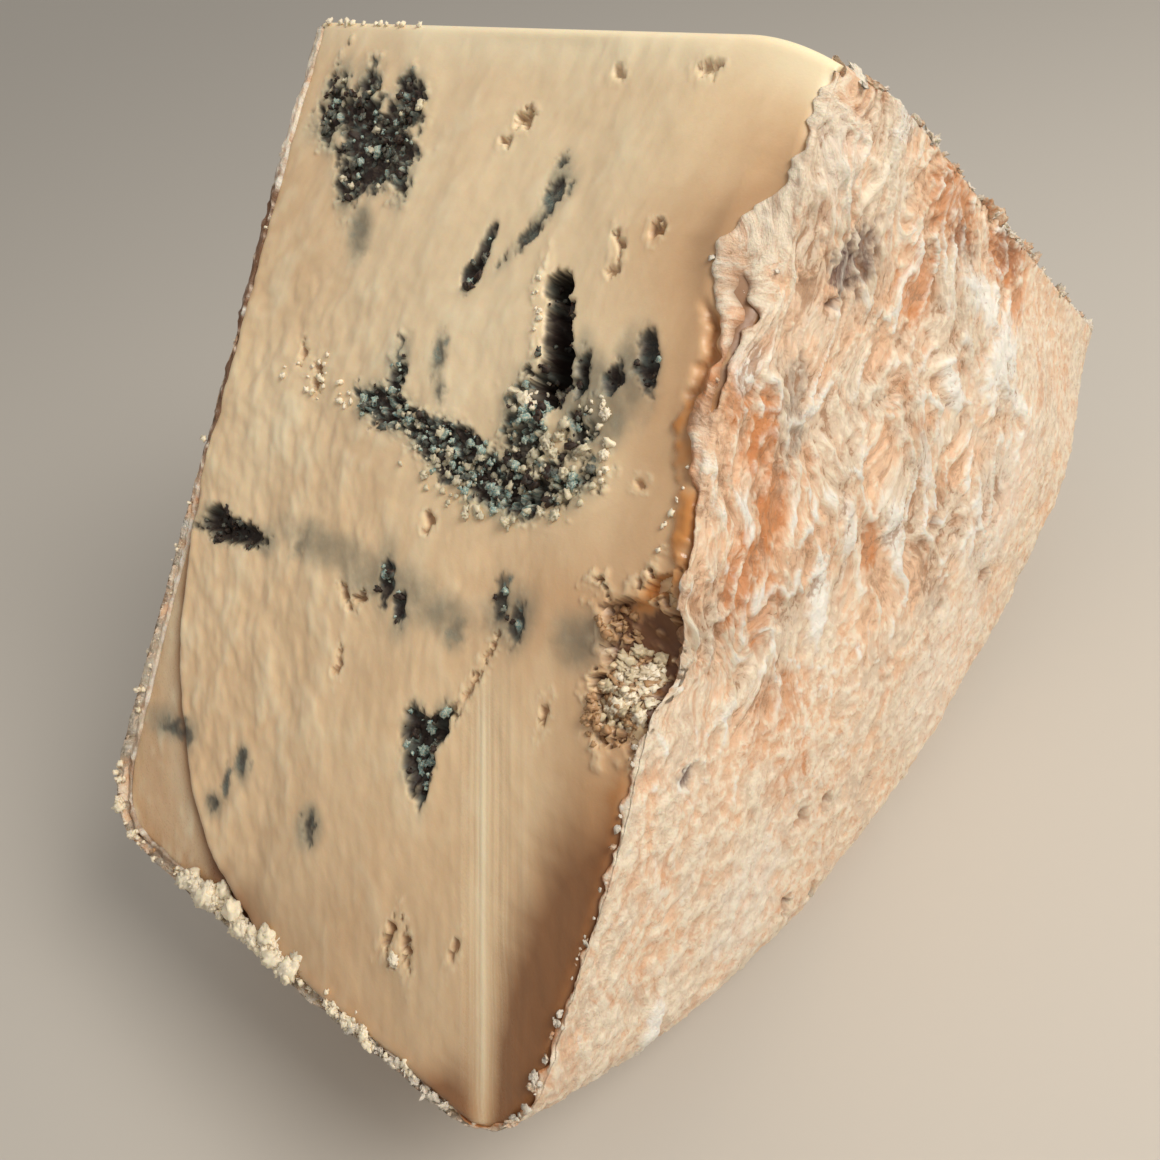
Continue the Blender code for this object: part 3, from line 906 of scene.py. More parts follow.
@dataclass(frozen=True)
class CutFace:
    """One knife cut: smeared paste with its veins, tears and worn edges."""

    name: str
    plane: Plane
    other: Plane
    wheel: Wheel
    veins: tuple[Vein, ...]
    tears: tuple[Tear, ...]
    rows: int
    columns: int
    seed: int
    pared: bool = False
    streaked: bool = False
    dense_rows: tuple[Triple, ...] = ()
    dense_columns: tuple[Triple, ...] = ()
    starts_at: float = -1.6
    rim_gap: float = 0.15
    rise_over: float = 2.0
    heart: Triple = (0.0, 52.0, -14.0)
    ring_shares: tuple[float, float] = (0.03, 0.25)
    pared_at: tuple[float, float] = (5.0, 55.0)
    pared_radii: tuple[float, float] = (37.5, 45.0)
    pared_step: float = 0.7
    pared_fall: float = 0.05
    streak_lines: tuple[Triple, ...] = (
        (0.0, 0.26, 1.0), (0.7, 0.18, 0.5), (-0.75, 0.2, 0.6), (1.45, 0.2, 0.5), (-1.5, 0.18, 0.4),
        (2.5, 0.2, 0.4), (-2.6, 0.2, 0.25), (3.6, 0.22, 0.35), (-3.9, 0.25, 0.15), (5.0, 0.22, 0.25))

    @property
    def reach(self) -> float:
        """How far the cut runs down from the point to the rim."""
        return self.wheel.radius + self.wheel.point_rise * math.cos(self.plane.lean)

    def half_width(self, down: Array, right: bool) -> Array:
        """How far the cut runs from its middle to one side."""
        corner = self.wheel.corner
        start = self.reach - corner
        swell = self.wheel.right_face(down) if right else np.full_like(down, self.wheel.half)
        drop = np.clip(down - start, 0.0, corner)
        return swell - (corner - np.sqrt(np.maximum(corner ** 2 - drop ** 2, 0.0))) - self.rim_gap

    def lap_width(self, down: Array) -> Array:
        """How far the right rind laps over the cut at each place down it."""
        if not self.streaked:
            return np.full_like(down, 0.6)
        spread = on_plane(down, np.zeros_like(down))
        ragged = 0.7 * Grain(5).cloud(spread, 2.6, 3, 0.6) + 0.5 * Grain(6).cloud(spread, 9.0, 2)
        inward = 4.9 * bell(down, 18.5, 6.0) + 1.8 * bell(down, 32.0, 4.5)
        return np.clip(inward + ragged + 0.5 - 0.4 * bell(down, 42.0, 5.0), 0.25, 8.0)

    def ooze(self, flat: Array, near_rind: Array, height: Array, mark: Marks) -> None:
        """Lay the amber jelly beside the rind, and tear the crumbly hole beside it."""
        down = flat[:, 1]
        wave = Grain(self.seed + 4).cloud(flat, 3.0, 3)
        wide = 1.9 * bell(down, 39.0, 7.5) + 0.5 * wave
        strip = ease(near_rind, wide + 0.6, wide - 0.4) * ease(down, 29.0, 32.0) * ease(down, 49.0, 46.0)
        height += 0.55 * strip * (0.6 + 0.5 * wave)
        at_least(mark, "amber", strip * np.clip(0.65 + 0.8 * wave, 0.2, 0.95))
        at_least(mark, "gloss", strip)
        line = bell(near_rind, 0.5, 0.9 + 0.5 * wave) * ease(down, 61.0, 66.0) * ease(down, 99.5, 96.0)
        at_least(mark, "amber", 0.7 * line)
        at_least(mark, "amber", 0.3 * bell(near_rind, 1.0, 4.0) * ease(down, 61.0, 68.0))
        crack = bell(near_rind + 0.4 * wave, 0.4, 0.5) * ease(down, 22.0, 25.0) * ease(down, 33.0, 30.0)
        height -= 1.3 * crack
        at_least(mark, "amber", 0.6 * crack)
        at_least(mark, "brown", 0.6 * crack * ease(wave, -0.2, 0.3))
        # Brown at the edge of the paste under the rind's lap near the top is painted shade beneath the lip.
        at_least(mark, "brown", 0.8 * ease(near_rind, -0.4, -1.4) * bell(down, 25.0, 10.0))
        self.crumble(flat, height, mark)

    def crumble(self, flat: Array, height: Array, mark: Marks) -> None:
        """Break out the crumbly hole between the paste and the rind."""
        across, down = flat[:, 0], flat[:, 1]
        jag = Grain(self.seed + 3).cloud(flat, 1.7, 4, 0.65)
        hole = Spot(34.2, 54.6, 3.8, 7.2, 4).inside(across, down)
        hole = np.maximum(hole, Spot(31.4, 51.0, 2.6, 1.3, -24).inside(across, down)) + 1.1 * jag
        split = Spot(33.6, 47.6, 0.75, 3.4, -36).inside(across, down) + 0.45 * jag
        hole = np.maximum(hole, split)
        inner = ease(hole, -0.05, 0.4)
        lump, own = Grain(self.seed + 6).lumps(flat + 0.9 * jag[:, None], 1.25)
        stand = lump * (0.3 + own) * ease(down, 49.5, 53.0)
        height -= inner * (1.7 - 1.3 * np.minimum(stand, 1.1))
        lip = bell(hole, -0.5, 0.5) * ease(jag, -0.3, 0.3)
        height += 0.25 * lip
        at_least(mark, "cream", 0.4 * lip)
        # Brown between the low lumps of the hole is painted shade in the gaps.
        at_least(mark, "brown", 0.95 * inner * ease(stand, 0.65, 0.25))
        at_least(mark, "cream", 0.55 * inner * ease(stand, 0.45, 0.85))
        at_least(mark, "halo", 0.45 * inner * ease(own, 0.5, 0.2))
        mark["brown"] *= 1.0 - 0.75 * ease(split, -0.3, 0.2)
        at_least(mark, "amber", 0.85 * ease(split, -0.3, 0.3))

    def beyond_crease(self, across: Array, down: Array) -> Array:
        """How far a place lies beyond the curved crease of the pared corner, in millimetres."""
        u = np.maximum(self.pared_at[0] - across, 0) / self.pared_radii[0]
        v = np.maximum(down - self.pared_at[1], 0) / self.pared_radii[1]
        share = (np.hypot(u, v) - 1.0) * self.pared_radii[0]
        return np.where(v > 0, share, -9.0)

    def marks(self, across: Array, down: Array) -> tuple[Array, Marks]:
        """The paste's relief and its marks, some of which are painted shade and painted highlights.

        Args:
            across: Places across the cut.
            down: Places down the cut.

        Returns:
            The height over the flat of the cut, and a mark from 0 to 1 for each finish.
        """
        grain = Grain(self.seed)
        flat = on_plane(across, down)
        steps = np.linspace(0.0, 110.0, 221)
        drift = np.cumsum(-0.30 + 0.72 * ease(steps, 15.0, 70.0)) * 0.5
        warp = 0.7 * grain.cloud(flat, 12.0, 2)
        lay = np.stack([across - np.interp(down, steps, drift) + warp, down,
                        np.full_like(across, float(self.seed))], axis=1)
        smooth_side = ease(across, 14.0, 26.0) * ease(down, 78.0, 62.0)
        rough = (1.0 - 0.8 * smooth_side) * (0.5 + 0.7 * ease(across, 6.0, -14.0) * ease(down, 20.0, 36.0))
        swell = grain.cloud(lay * [1.0, 0.55, 1.0], 5.5, 2)
        dent = grain.cloud(lay * [1.0, 0.66, 1.0] + 20.0, 1.9, 2)
        height = 0.35 * grain.cloud(flat * [1.0, 0.45, 1.0], 13.0, 2) + rough * (0.22 * swell + 0.13 * dent)
        mark = {name: np.zeros_like(across) for name in PASTE_MARKS}
        near_right = self.half_width(down, True) - across
        near_rind = near_right - self.lap_width(down)
        near_left = across + self.half_width(down, False)
        near_rim = self.reach - down
        broad = grain.cloud(flat * [1.0, 0.6, 1.0] + 70.0, 16.0, 2)
        mark["tan"] = 0.66 * ease(near_rind, 13.0, 0.5) * ease(down, -1.0, 10.0)
        mark["tan"] += 0.3 * ease(near_left, 3.0, 0.3) * ease(down, 62.0, 50.0)
        # The tan that grows towards the bottom of the cut and the tan in the dents of the relief are painted
        # shade.
        mark["tan"] += 0.35 * ease(near_rim, 5.0, 0.5) + 0.15 * ease(down, 45.0, 90.0)
        mark["tan"] += 0.55 * bell(across, 23.0, 9.0) * bell(down, 53.0, 8.0) + 0.16 * broad
        mark["tan"] += 0.10 * rough * ease(dent, 0.2, -0.6)
        # Cream near the top edge and shoulder, over the upper part of the cut and on the crests of the relief
        # is partly the paste's own pale colour and partly painted light: a painted glow along the top edge,
        # painted brightening of the upper cut and painted highlights on the lumps.
        mark["cream"] = 0.55 * ease(down, 6.0, 0.5) + 0.4 * bell(across, 31.0, 5.0) * ease(down, 9.0, 1.0)
        mark["cream"] += ((0.15 + 0.3 * rough) * ease(swell + 0.8 * dent, 0.0, 1.1)
                          * ease(near_rind, 2.0, 14.0))
        mark["cream"] += 0.35 * bell(across, -24.0, 9.0) * bell(down, 46.0, 12.0)
        mark["cream"] += (0.36 * ease(down, 54.0, 30.0) * ease(across, -24.0, -10.0)
                          * ease(near_rind, 3.0, 16.0))
        mark["cream"] += 0.22 * bell(across, 4.0, 12.0) * bell(down, 29.0, 13.0)
        # Painted shade, partly the paste's own darker colour: darker by the rind low down, beside the rind
        # near the top and by its crack, along the rim, and towards the lower left.
        mark["dusk"] = 1.15 * ease(near_rind, 11.0, 2.5) * ease(down, 60.0, 78.0)
        mark["dusk"] += 0.45 * ease(near_rind, 4.0, 0.2) * bell(down, 17.0, 9.0)
        mark["dusk"] += 0.7 * ease(near_rim, 8.0, 1.5) * bell(across, -7.0, 8.0)
        mark["dusk"] += 0.28 * ease(down, 76.0, 100.0) * ease(across, -16.0, -2.0)
        mark["dusk"] += 0.35 * ease(near_rind, 3.0, 0.2) * ease(down, 28.0, 34.0)
        if self.pared:
            self.pare(across, down, height, mark)
        if self.streaked:
            self.streak(across, down, height, mark)
        self.grow(flat, height, mark)
        self.tear(flat, height, mark)
        if self.streaked:
            self.ooze(flat, near_rind, height, mark)
        edge = np.minimum(np.minimum(near_right, near_left), near_rim)
        height -= 0.55 * ease(edge, 1.0, 0.0)
        for name in mark:
            mark[name] = np.clip(mark[name], 0.0, 0.95 if name == "tan" else 1.0)
        mark["lay"] = lay
        return height, mark

    def pare(self, across: Array, down: Array, height: Array, mark: Marks) -> None:
        """Lower the corner that a second stroke of the knife took, beyond its curved crease."""
        beyond = self.beyond_crease(across, down)
        wander = 0.25 * Grain(self.seed + 7).cloud(np.stack([across, down, down], axis=1), 6.0, 2)
        past = ease(beyond + wander, 0.0, 0.9)
        started = ease(down, self.pared_at[1], self.pared_at[1] + 7.0)
        height *= 1.0 - 0.65 * past * started
        height -= started * (self.pared_step * past + self.pared_fall * np.maximum(beyond, 0.0))
        height -= 0.85 * started * bell(beyond + wander, 0.55, 0.5)
        height += 0.18 * started * bell(beyond + wander, -0.5, 0.6)
        # Along the crease, tan, brown and the darkening mark paint its shadow, and the narrow cream just
        # before it is a painted highlight on its lip; the tan over the facet is its own colour.
        mark["tan"] += 0.42 * past * started + 0.35 * started * bell(beyond + wander, 0.7, 1.3)
        mark["brown"] += 0.72 * started * bell(beyond + wander, 0.6, 0.62)
        mark["dusk"] += 0.45 * started * bell(beyond + wander, 0.9, 1.3)
        mark["cream"] += started * (0.45 * bell(beyond + wander, -0.3, 0.35) + 0.25 * bell(beyond, 3.2, 1.6))
        mark["cream"] += 0.10 * past * started * ease(across, -8.0, -18.0)
        mark["dusk"] += 0.7 * past * started * ease(across, -17.0, -5.0)
        mark["gloss"] += 0.35 * past * started

    def streak(self, across: Array, down: Array, height: Array, mark: Marks) -> None:
        """Draw the shiny lines that the knife's tip left, with a painted highlight of cream along them."""
        start, stop = np.array([17.4, 59.5]), np.array([32.9, 96.9])
        way = (stop - start) / np.linalg.norm(stop - start)
        side = (across - start[0]) * way[1] - (down - start[1]) * way[0]
        along = (across - start[0]) * way[0] + (down - start[1]) * way[1]
        shown = ease(along, -1.0, 9.0)
        lines = sum(weight * bell(side, middle, wide) for middle, wide, weight in self.streak_lines)
        height *= 1.0 - 0.7 * shown * bell(side, 0.0, 3.0)
        height += 0.12 * shown * lines - 0.25 * shown * bell(side, 0.0, 3.4)
        mark["gloss"] += shown * (0.8 * bell(side, 0.0, 2.8) + 0.5 * lines)
        # The scored lines and the cream along the streak are a painted highlight of its gloss; painted shade
        # and tan are thinned under it.
        mark["scored"] = shown * np.maximum(bell(side, 0.2, 1.2), 0.4 * bell(side, 1.2, 3.4))
        mark["cream"] += shown * (0.30 * lines + 0.55 * bell(side, 0.0, 0.55))
        mark["dusk"] *= 1.0 - 0.9 * shown * bell(side, 0.0, 2.2)
        mark["tan"] *= 1.0 - 0.7 * shown * bell(side, 0.0, 2.4)

    def grow(self, flat: Array, height: Array, mark: Marks) -> None:
        """Let the blue mould eat into the paste."""
        ragged = Grain(self.seed + 1)
        bits = Grain(self.seed + 2)
        across, down = flat[:, 0], flat[:, 1]
        edge = ragged.cloud(flat, 2.4, 4, 0.6)
        spread = ragged.cloud(flat * [1.0, 0.5, 1.0] + 40.0, 5.0, 3)
        fray = ragged.cloud(flat + 80.0, 1.0, 3, 0.65)
        lump, own = bits.lumps(flat + 0.5 * edge[:, None], 1.1)
        grit, speck = bits.lumps(flat + 30.0, 0.55)
        for vein in self.veins:
            deep = vein.inside(across, down)
            near = deep > -vein.halo - 3.0
            if not near.any():
                continue
            warped = deep + vein.ragged * (0.8 * edge + 0.55 * fray)
            body = vein.dark * ease(warped, -vein.soft, vein.soft)
            fade = ease(deep + 0.8 * spread, -vein.halo, 0.6)
            at_least(mark, "halo", 0.62 * fade * (0.55 + 0.45 * vein.dark))
            at_least(mark, "mould", body)
            inner = ease(warped, -vein.soft, 0.9)
            if vein.growth is Growth.STAINED:
                height -= vein.sink * body
                at_least(mark, "bloom", vein.blue * body * ease(edge, -0.1, 0.7))
                continue
            floor = vein.sink * (0.75 + 0.35 * spread)
            if vein.growth is Growth.HOLLOW:
                height -= np.maximum(floor, 0.3) * inner - (0.08 if vein.sink > 4.0 else 0.25) * inner * lump
                # Painted shade in the bottoms of the hollows, strongest in the deep cavity.
                at_least(mark, "void", inner * (0.9 if vein.sink > 4.0 else 0.4))
                pale = ease(own, 1.0 - vein.blue, 1.0) * ease(lump, 0.35, 0.9)
            else:
                stand = lump * (0.1 + 1.0 * own) + 0.25 * grit + 0.3 * edge
                height -= inner * (floor - 0.8 * vein.sink * np.clip(stand, 0, 1.2))
                pale = ease(own * 0.8 + 0.35 * lump, 1.15 - vein.blue, 1.3 - vein.blue)
                pale *= ease(lump, 0.25, 0.7)
                pale = np.maximum(pale, 0.7 * ease(speck, 0.95 - 0.2 * vein.blue, 1.0))
                rim = bell(warped, -0.2, 0.8) * ease(own, 0.3, 0.6)
                height += 0.35 * rim * lump
                at_least(mark, "cream", 0.8 * rim)
            at_least(mark, "bloom", pale * inner)
            if vein.sink > 4.0:
                beside = across - 11.8 - 0.41 * (down - 22.0)
                lip = bell(deep + 0.45 * edge, -0.9, 0.75) * ease(beside, 0.2, -1.2) * (0.35 + 0.9 * lump)
                height += 0.28 * lip
                at_least(mark, "cream", np.minimum(1.3 * lip, 1.0))
                # Inside the deep cavity the bloom is taken out and brown painted in as painted shade.
                mark["bloom"] *= 1.0 - 0.85 * inner
                at_least(mark, "brown", 0.8 * inner)
                mark["mould"] *= 1.0 - 0.35 * inner * ease(down, 27.0, 22.0)

    def tear(self, flat: Array, height: Array, mark: Marks) -> None:
        """Open the small tears and pits of plain paste."""
        across, down = flat[:, 0], flat[:, 1]
        jag = Grain(self.seed + 3).cloud(flat, 0.9, 3, 0.65)
        for tear in self.tears:
            spot = Spot(tear.across, tear.down, tear.half_across, tear.half_down, tear.lean)
            plain = spot.inside(across, down)
            deep = plain + 0.62 * jag * ease(plain, -2.0, -0.5)
            inner = ease(deep, -0.10, 0.22)
            lip = bell(deep, -0.38, 0.30) * (plain > -2.0) * ease(jag, -0.35, 0.35)
            height += 0.08 * tear.lip * lip - tear.depth * inner
            at_least(mark, "cream", 0.5 * tear.lip * lip)
            at_least(mark, "tan", 0.9 * inner)
            at_least(mark, "brown", 0.45 * tear.brown * inner)

    def build(self, material: Material, worn: Wear) -> Piece:
        """Make the cut's paste as one closed slab.

        Args:
            material: The paste.
            worn: The wear that every piece shares.

        Returns:
            The piece.
        """
        down = uneven_steps(self.starts_at, self.reach - 0.12, self.rows, list(self.dense_rows))
        across = uneven_steps(-1.0, 1.0, self.columns, list(self.dense_columns))
        grid_down, share = np.meshgrid(down, across, indexing="ij")
        grid_down, share = grid_down.ravel(), share.ravel()
        clear = np.maximum(grid_down, 0.0)
        wide = np.where(share > 0, self.half_width(clear, True), self.half_width(clear, False))
        grid_across = share * wide
        height, mark = self.marks(grid_across, clear)
        start = max(self.starts_at, 0.0)
        top = ease(grid_down, start, start + self.rise_over)
        height = height * top + np.where(grid_down < 0, 0.06, 0.0) - 0.1 * (self.starts_at > 0)
        if self.starts_at < 0:
            points = self.plane.place_over(self.other, grid_across, grid_down, height)
        else:
            points = self.plane.place(grid_across, grid_down, height)
        shape = Shape()
        shape.add_points(points, mark)
        shape.add_grid(self.rows, self.columns, 0)
        loop = grid_edge(self.rows, self.columns, 0)
        middle = self.plane.spot(*self.heart)
        rings = [points[loop] + (middle - points[loop]) * inward for inward in self.ring_shares]
        shape.close_behind(loop, rings, middle)
        return shape.make(self.name, "paste", material, worn)


# ---------------------------------------------------------------- the rinds

class Tint(Enum):
    """The kinds of mark on a rind."""

    ORANGE = "orange"
    WHITE = "white"
    PURPLE = "purple"
    PIT = "pit"


@dataclass(frozen=True)
class RindMark:
    """A patch on a rind: its turn and reach, its half widths in millimetres, its strength and kind."""

    turn: float
    reach: float
    half_turn: float
    half_reach: float
    strength: float
    tint: Tint

    def weight(self, turn: Array, reach: Array, jag: Array) -> Array:
        """How strongly each place on the rind carries the mark."""
        side = np.radians(turn - self.turn) * np.maximum(reach, 1.0) / self.half_turn
        along = (reach - self.reach) / self.half_reach
        return self.strength * ease(np.hypot(side, along) + 0.45 * jag, 1.25, 0.55)


RIGHT_MARKS: tuple[RindMark, ...] = tuple(RindMark(*row, tint) for tint, rows in (
    (Tint.PURPLE, (
        (-3, 20.0, 2.8, 3.0, 1.0), (6, 21.0, 2.6, 3.6, 0.9), (-22, 31.5, 2.0, 5.0, 0.5),
        (38, 37.0, 2.0, 3.6, 0.55), (-37, 63.9, 1.1, 1.2, 1.0), (8, 69.9, 3.5, 3.0, 0.25),
        (44, 50.0, 2.4, 4.6, 0.5),)),
    (Tint.ORANGE, (
        (-41, 29.0, 2.2, 3.4, 0.75), (-32, 33.0, 2.6, 4.4, 1.0), (-28, 39.5, 2.6, 4.6, 1.0),
        (-34, 45.5, 3.2, 4.6, 0.9), (-27, 50.0, 3.0, 4.4, 0.6), (-22, 62.0, 6.0, 4.0, 0.4),
        (41, 32.0, 3.4, 7.0, 0.8), (43, 50.0, 3.0, 6.0, 1.0), (23, 32.0, 4.0, 5.0, 0.75),
        (-3, 51.3, 1.8, 4.0, 0.85), (40, 57.5, 3.0, 2.4, 0.7), (-20, 71.0, 5.0, 4.0, 0.4),)),
    (Tint.WHITE, (
        (32, 55.0, 5.6, 4.2, 1.0), (34, 44.0, 2.0, 5.8, 1.0), (21, 46.4, 1.6, 4.2, 1.0),
        (30, 63.0, 1.4, 4.4, 0.9), (-41, 27.6, 1.5, 2.4, 0.9), (-15, 52.6, 1.9, 5.8, 1.0),
        (2, 53.0, 1.9, 5.0, 1.0), (-9, 47.0, 1.2, 4.6, 0.8), (11, 50.0, 1.2, 5.0, 0.7),
        (-34, 92.9, 1.6, 4.0, 1.0), (44, 15.2, 2.6, 3.0, 0.7), (-10, 10.0, 4.0, 5.0, 0.35),
        (8, 84.0, 14.0, 10.0, 0.25), (22, 72.0, 12.0, 9.0, 0.35), (-24, 84.0, 7.0, 9.0, 0.3),)),
    (Tint.PIT, (
        (-17, 79.7, 1.4, 1.2, 1.0), (-13, 80.5, 0.8, 1.4, 0.8), (-18, 91.7, 0.9, 2.0, 0.9),
        (10, 59.3, 1.2, 0.8, 0.9), (8, 71.6, 0.7, 0.9, 0.8), (-14, 94.0, 0.7, 2.2, 0.8),
        (17, 80.0, 0.8, 1.0, 0.8), (-9, 22.6, 1.0, 0.6, 0.8),)),
) for row in rows)


@dataclass(frozen=True)
class RindSheet:
    """Part of the rind, from one run along the wheel's section to another, with lips over both cuts."""

    name: str
    front: Plane
    back: Plane
    outline: Outline
    run_from: float
    run_to: float
    rows: int
    columns: int
    lip_columns: int
    marks: tuple[RindMark, ...]
    seed: int
    heart: Triple
    left: bool = False
    proud: float = 0.18
    ring_shares: tuple[float, float] = (0.04, 0.4)

    def lip_width(self, run: Array, reach: Array, side: Side, cut: CutFace) -> Array:
        """How far the rind laps over a cut at each run."""
        spread = on_plane(run, np.full_like(run, float(side.value)))
        grain = Grain(self.seed + 5)
        ragged = 0.8 + 0.5 * grain.cloud(spread, 3.2, 3)
        if self.left:
            return np.clip(ragged + 0.2, 0.5, 2.0)
        if side is Side.BACK:
            return np.clip(ragged + 0.5, 0.4, 2.5)
        return cut.lap_width(reach)

    def relief(self, at: Array, turn: Array, reach: Array) -> tuple[Array, Marks]:
        """The rind's wrinkles and marks.

        Args:
            at: Points of the smooth rind.
            turn: Their turn in degrees.
            reach: Their reach from the point.

        Returns:
            The height of the relief, and a mark from 0 to 1 for each finish.
        """
        grain = Grain(self.seed)
        bend = np.stack([grain.cloud(at + shift, 13.0, 2) for shift in (0.0, 31.0, 67.0)], axis=1)
        swirl = at + 5.5 * bend
        along = 0.30 * swirl[:, 1] + 0.95 * swirl[:, 2]
        over = 0.95 * swirl[:, 1] - 0.30 * swirl[:, 2]
        limb = ease(turn, 27.0, 40.0) * ease(reach, 54.0, 66.0)
        calm = ease(grain.cloud(at + 130.0, 20.0, 2) + 0.9 * ease(reach, 58.0, 78.0) + limb, 0.0, 0.9)
        lay = np.stack([swirl[:, 0], over, 0.40 * along], axis=1)
        fold = grain.ridges(lay, 4.6, 3)
        fold += 0.75 * calm * (grain.ridges(at + 210.0, 3.4, 3) - fold)
        crust = grain.ridges(lay + 50.0, 1.9, 2)
        grit = grain.cloud(at + 90.0, 1.1, 3, 0.6)
        broad = grain.cloud(at, 22.0, 2)
        still = (1.0 - 0.5 * calm) * (1.0 - 0.5 * limb)
        height = 0.45 * broad + still * (1.35 * (fold - 0.6) + 0.5 * (crust - 0.5)) + 0.14 * grit
        uneven = 0.95 * (fold - 0.60) + 0.45 * (crust - 0.5) + 0.15 * grit
        rise = np.clip(0.42 + (1.0 - 0.35 * calm) * (1.0 - 0.4 * limb) * uneven + 0.17 * calm
                       + 0.14 * ease(reach, 30.0, 8.0), 0, 1)
        marks = {key: np.zeros(len(at)) for key in ("orange", "white", "purple", "brown")}
        flows = ease(grain.cloud(at + 170.0, 12.0, 2), -0.35, 0.25)
        flows *= ease(reach, 18.0, 32.0) * ease(reach, 80.0, 58.0)
        marks["wax"] = 0.95 * flows * ease(fold, 0.76, 0.87) + 0.3 * ease(fold, 0.82, 0.94)
        for item in self.marks:
            weight = item.weight(turn, reach, grit)
            if item.tint is Tint.PIT:
                height -= 1.5 * weight
                at_least(marks, "brown", 0.55 * weight)
                at_least(marks, "orange", 0.7 * weight)
                continue
            at_least(marks, item.tint.value, weight)
            height += {Tint.WHITE: 0.45, Tint.ORANGE: -0.1, Tint.PURPLE: -0.3}[item.tint] * weight
        marks["rise"] = rise
        marks["calm"] = 0.85 * calm
        marks["wax"] = np.clip(marks["wax"] * (1.0 - 0.7 * marks["orange"]), 0, 1)
        marks["lay"] = lay
        height = height * ease(reach, 1.0, 9.0)
        return height, marks

    def build(self, material: Material, worn: Wear, cuts: dict[Side, CutFace]) -> Piece:
        """Make this part of the rind as one closed piece.

        Args:
            material: The rind.
            worn: The wear that every piece shares.
            cuts: The two cut faces, whose relief the lips follow.

        Returns:
            The piece.
        """
        run = np.linspace(self.run_from, self.run_to, self.rows)
        place, way = self.outline.at(run)
        low, high = -math.degrees(self.front.lean), math.degrees(self.back.lean)
        turns = uneven_steps(low, high, self.columns, [(low, 10.0, 1.2), (high, 6.0, 0.5)])
        width = self.lip_columns
        total = self.columns + 2 * width
        points = np.zeros((self.rows, total, 3))
        turn_grid, row_grid = np.meshgrid(turns, np.arange(self.rows), indexing="xy")
        flat_turn, row = turn_grid.ravel(), row_grid.ravel()
        angle = np.radians(flat_turn)
        radius = place[row, 1] + self.front_rise(angle)
        spoke = np.stack([np.zeros_like(angle), np.sin(angle), -np.cos(angle)], axis=1)
        over = np.outer(place[row, 0], [1.0, 0, 0])
        smooth_at = np.array(self.front.point) + over + spoke * radius[:, None]
        height, marks = self.relief(smooth_at, flat_turn, radius)
        edge = np.minimum(flat_turn - low, high - flat_turn) * np.radians(1) * radius
        height = height * ease(edge, -2.6, 1.6) + self.proud
        facing = way[row, 0][:, None] * np.array([1.0, 0.0, 0.0]) + way[row, 1][:, None] * spoke
        sheet = smooth_at + facing * height[:, None]
        stands = height.reshape(self.rows, self.columns)
        points[:, width:width + self.columns] = sheet.reshape(self.rows, self.columns, 3)
        kept = {key: np.zeros((self.rows, total) + values.shape[1:]) for key, values in marks.items()}
        for key, values in marks.items():
            own = (self.rows, self.columns) + values.shape[1:]
            kept[key][:, width:width + self.columns] = values.reshape(own)
        for side in (Side.FRONT, Side.BACK):
            stand = stands[:, 0] if side is Side.FRONT else stands[:, -1]
            self.lap(side, points, kept, (place, way, run, stand), cuts[side])
        shape = Shape()
        flat = points.reshape(-1, 3)
        listed = {key: values.reshape((len(flat),) + values.shape[2:]) for key, values in kept.items()}
        shape.add_points(flat, listed)
        shape.add_grid(self.rows, total, 0)
        loop = grid_edge(self.rows, total, 0)
        middle = np.array(self.heart)
        rings = [flat[loop] + (middle - flat[loop]) * inward for inward in self.ring_shares]
        shape.close_behind(loop, rings, middle)
        return shape.make(self.name, "rind", material, worn)

    def front_rise(self, angle: Array) -> Array:
        """How much further the rim is from the point than from the wheel's middle."""
        return self.outline.wheel.point_rise * np.cos(angle)

    def lap(self, side: Side, points: Array, kept: Marks,
            edge: tuple[Array, Array, Array, Array], cut: CutFace) -> None:
        """Lay the lip of the rind over one cut.

        Args:
            side: Which cut.
            points: The sheet's points, whose lip columns are filled in.
            kept: The sheet's marks, whose lip columns are filled in.
            edge: For each row, the outline's (x, radius), its outward direction, its run, and how far the
                sheet stands proud of it.
            cut: The cut face under the lip.
        """
        place, way, run, stand = edge
        width = self.lip_columns
        plane = self.front if side is Side.FRONT else self.back
        rise = self.outline.wheel.point_rise * math.cos(plane.lean)
        wide = self.lip_width(run, place[:, 1] + rise, side, cut)
        turn = np.full_like(run, side.value * math.degrees(plane.lean))
        grain = Grain(self.seed + 9)
        for step in range(width):
            share = (step + 1) / width
            inward = wide * share - 0.05 - stand * (1.0 - share)
            across = place[:, 0] - way[:, 0] * inward
            down = place[:, 1] + rise - way[:, 1] * inward
            height, _ = cut.marks(across, np.maximum(down, 0.0))
            flat = plane.place(across, down, np.zeros_like(across))
            fold, marks = self.relief(flat, turn, np.maximum(down, 0.0))
            spread = np.stack([across, down, np.full_like(run, 3.0)], axis=1)
            crumple = grain.ridges(spread, 1.9, 3) - 0.4
            arch = math.sin(math.pi * min(share * 1.02, 1.0)) ** 0.5 if share < 1 else 0.0
            lift = (0.35 + 0.45 * crumple + 0.5 * fold) * arch - 0.45 * (share == 1)
            lift = lift - 1.3 * self.crack(side, share, place[:, 1])
            column = width - 1 - step if side is Side.FRONT else width + self.columns + step
            points[:, column] = plane.place(across, down, height + lift + 0.25 * (1 - share))
            for key, values in marks.items():
                kept[key][:, column] = values
            self.tint_lip(side, kept, column, share, place[:, 1], crumple)

    def crack(self, side: Side, share: float, reach: Array) -> Array:
        """The crack behind the flap of rind that peels onto the front cut."""
        if self.left or side is not Side.FRONT:
            return np.zeros_like(reach)
        wander = 0.12 * np.sin(0.9 * reach) + 0.08 * np.sin(2.3 * reach)
        return bell(share + wander, 0.45, 0.13) * ease(reach, 17.0, 22.0) * ease(reach, 32.5, 30.0)

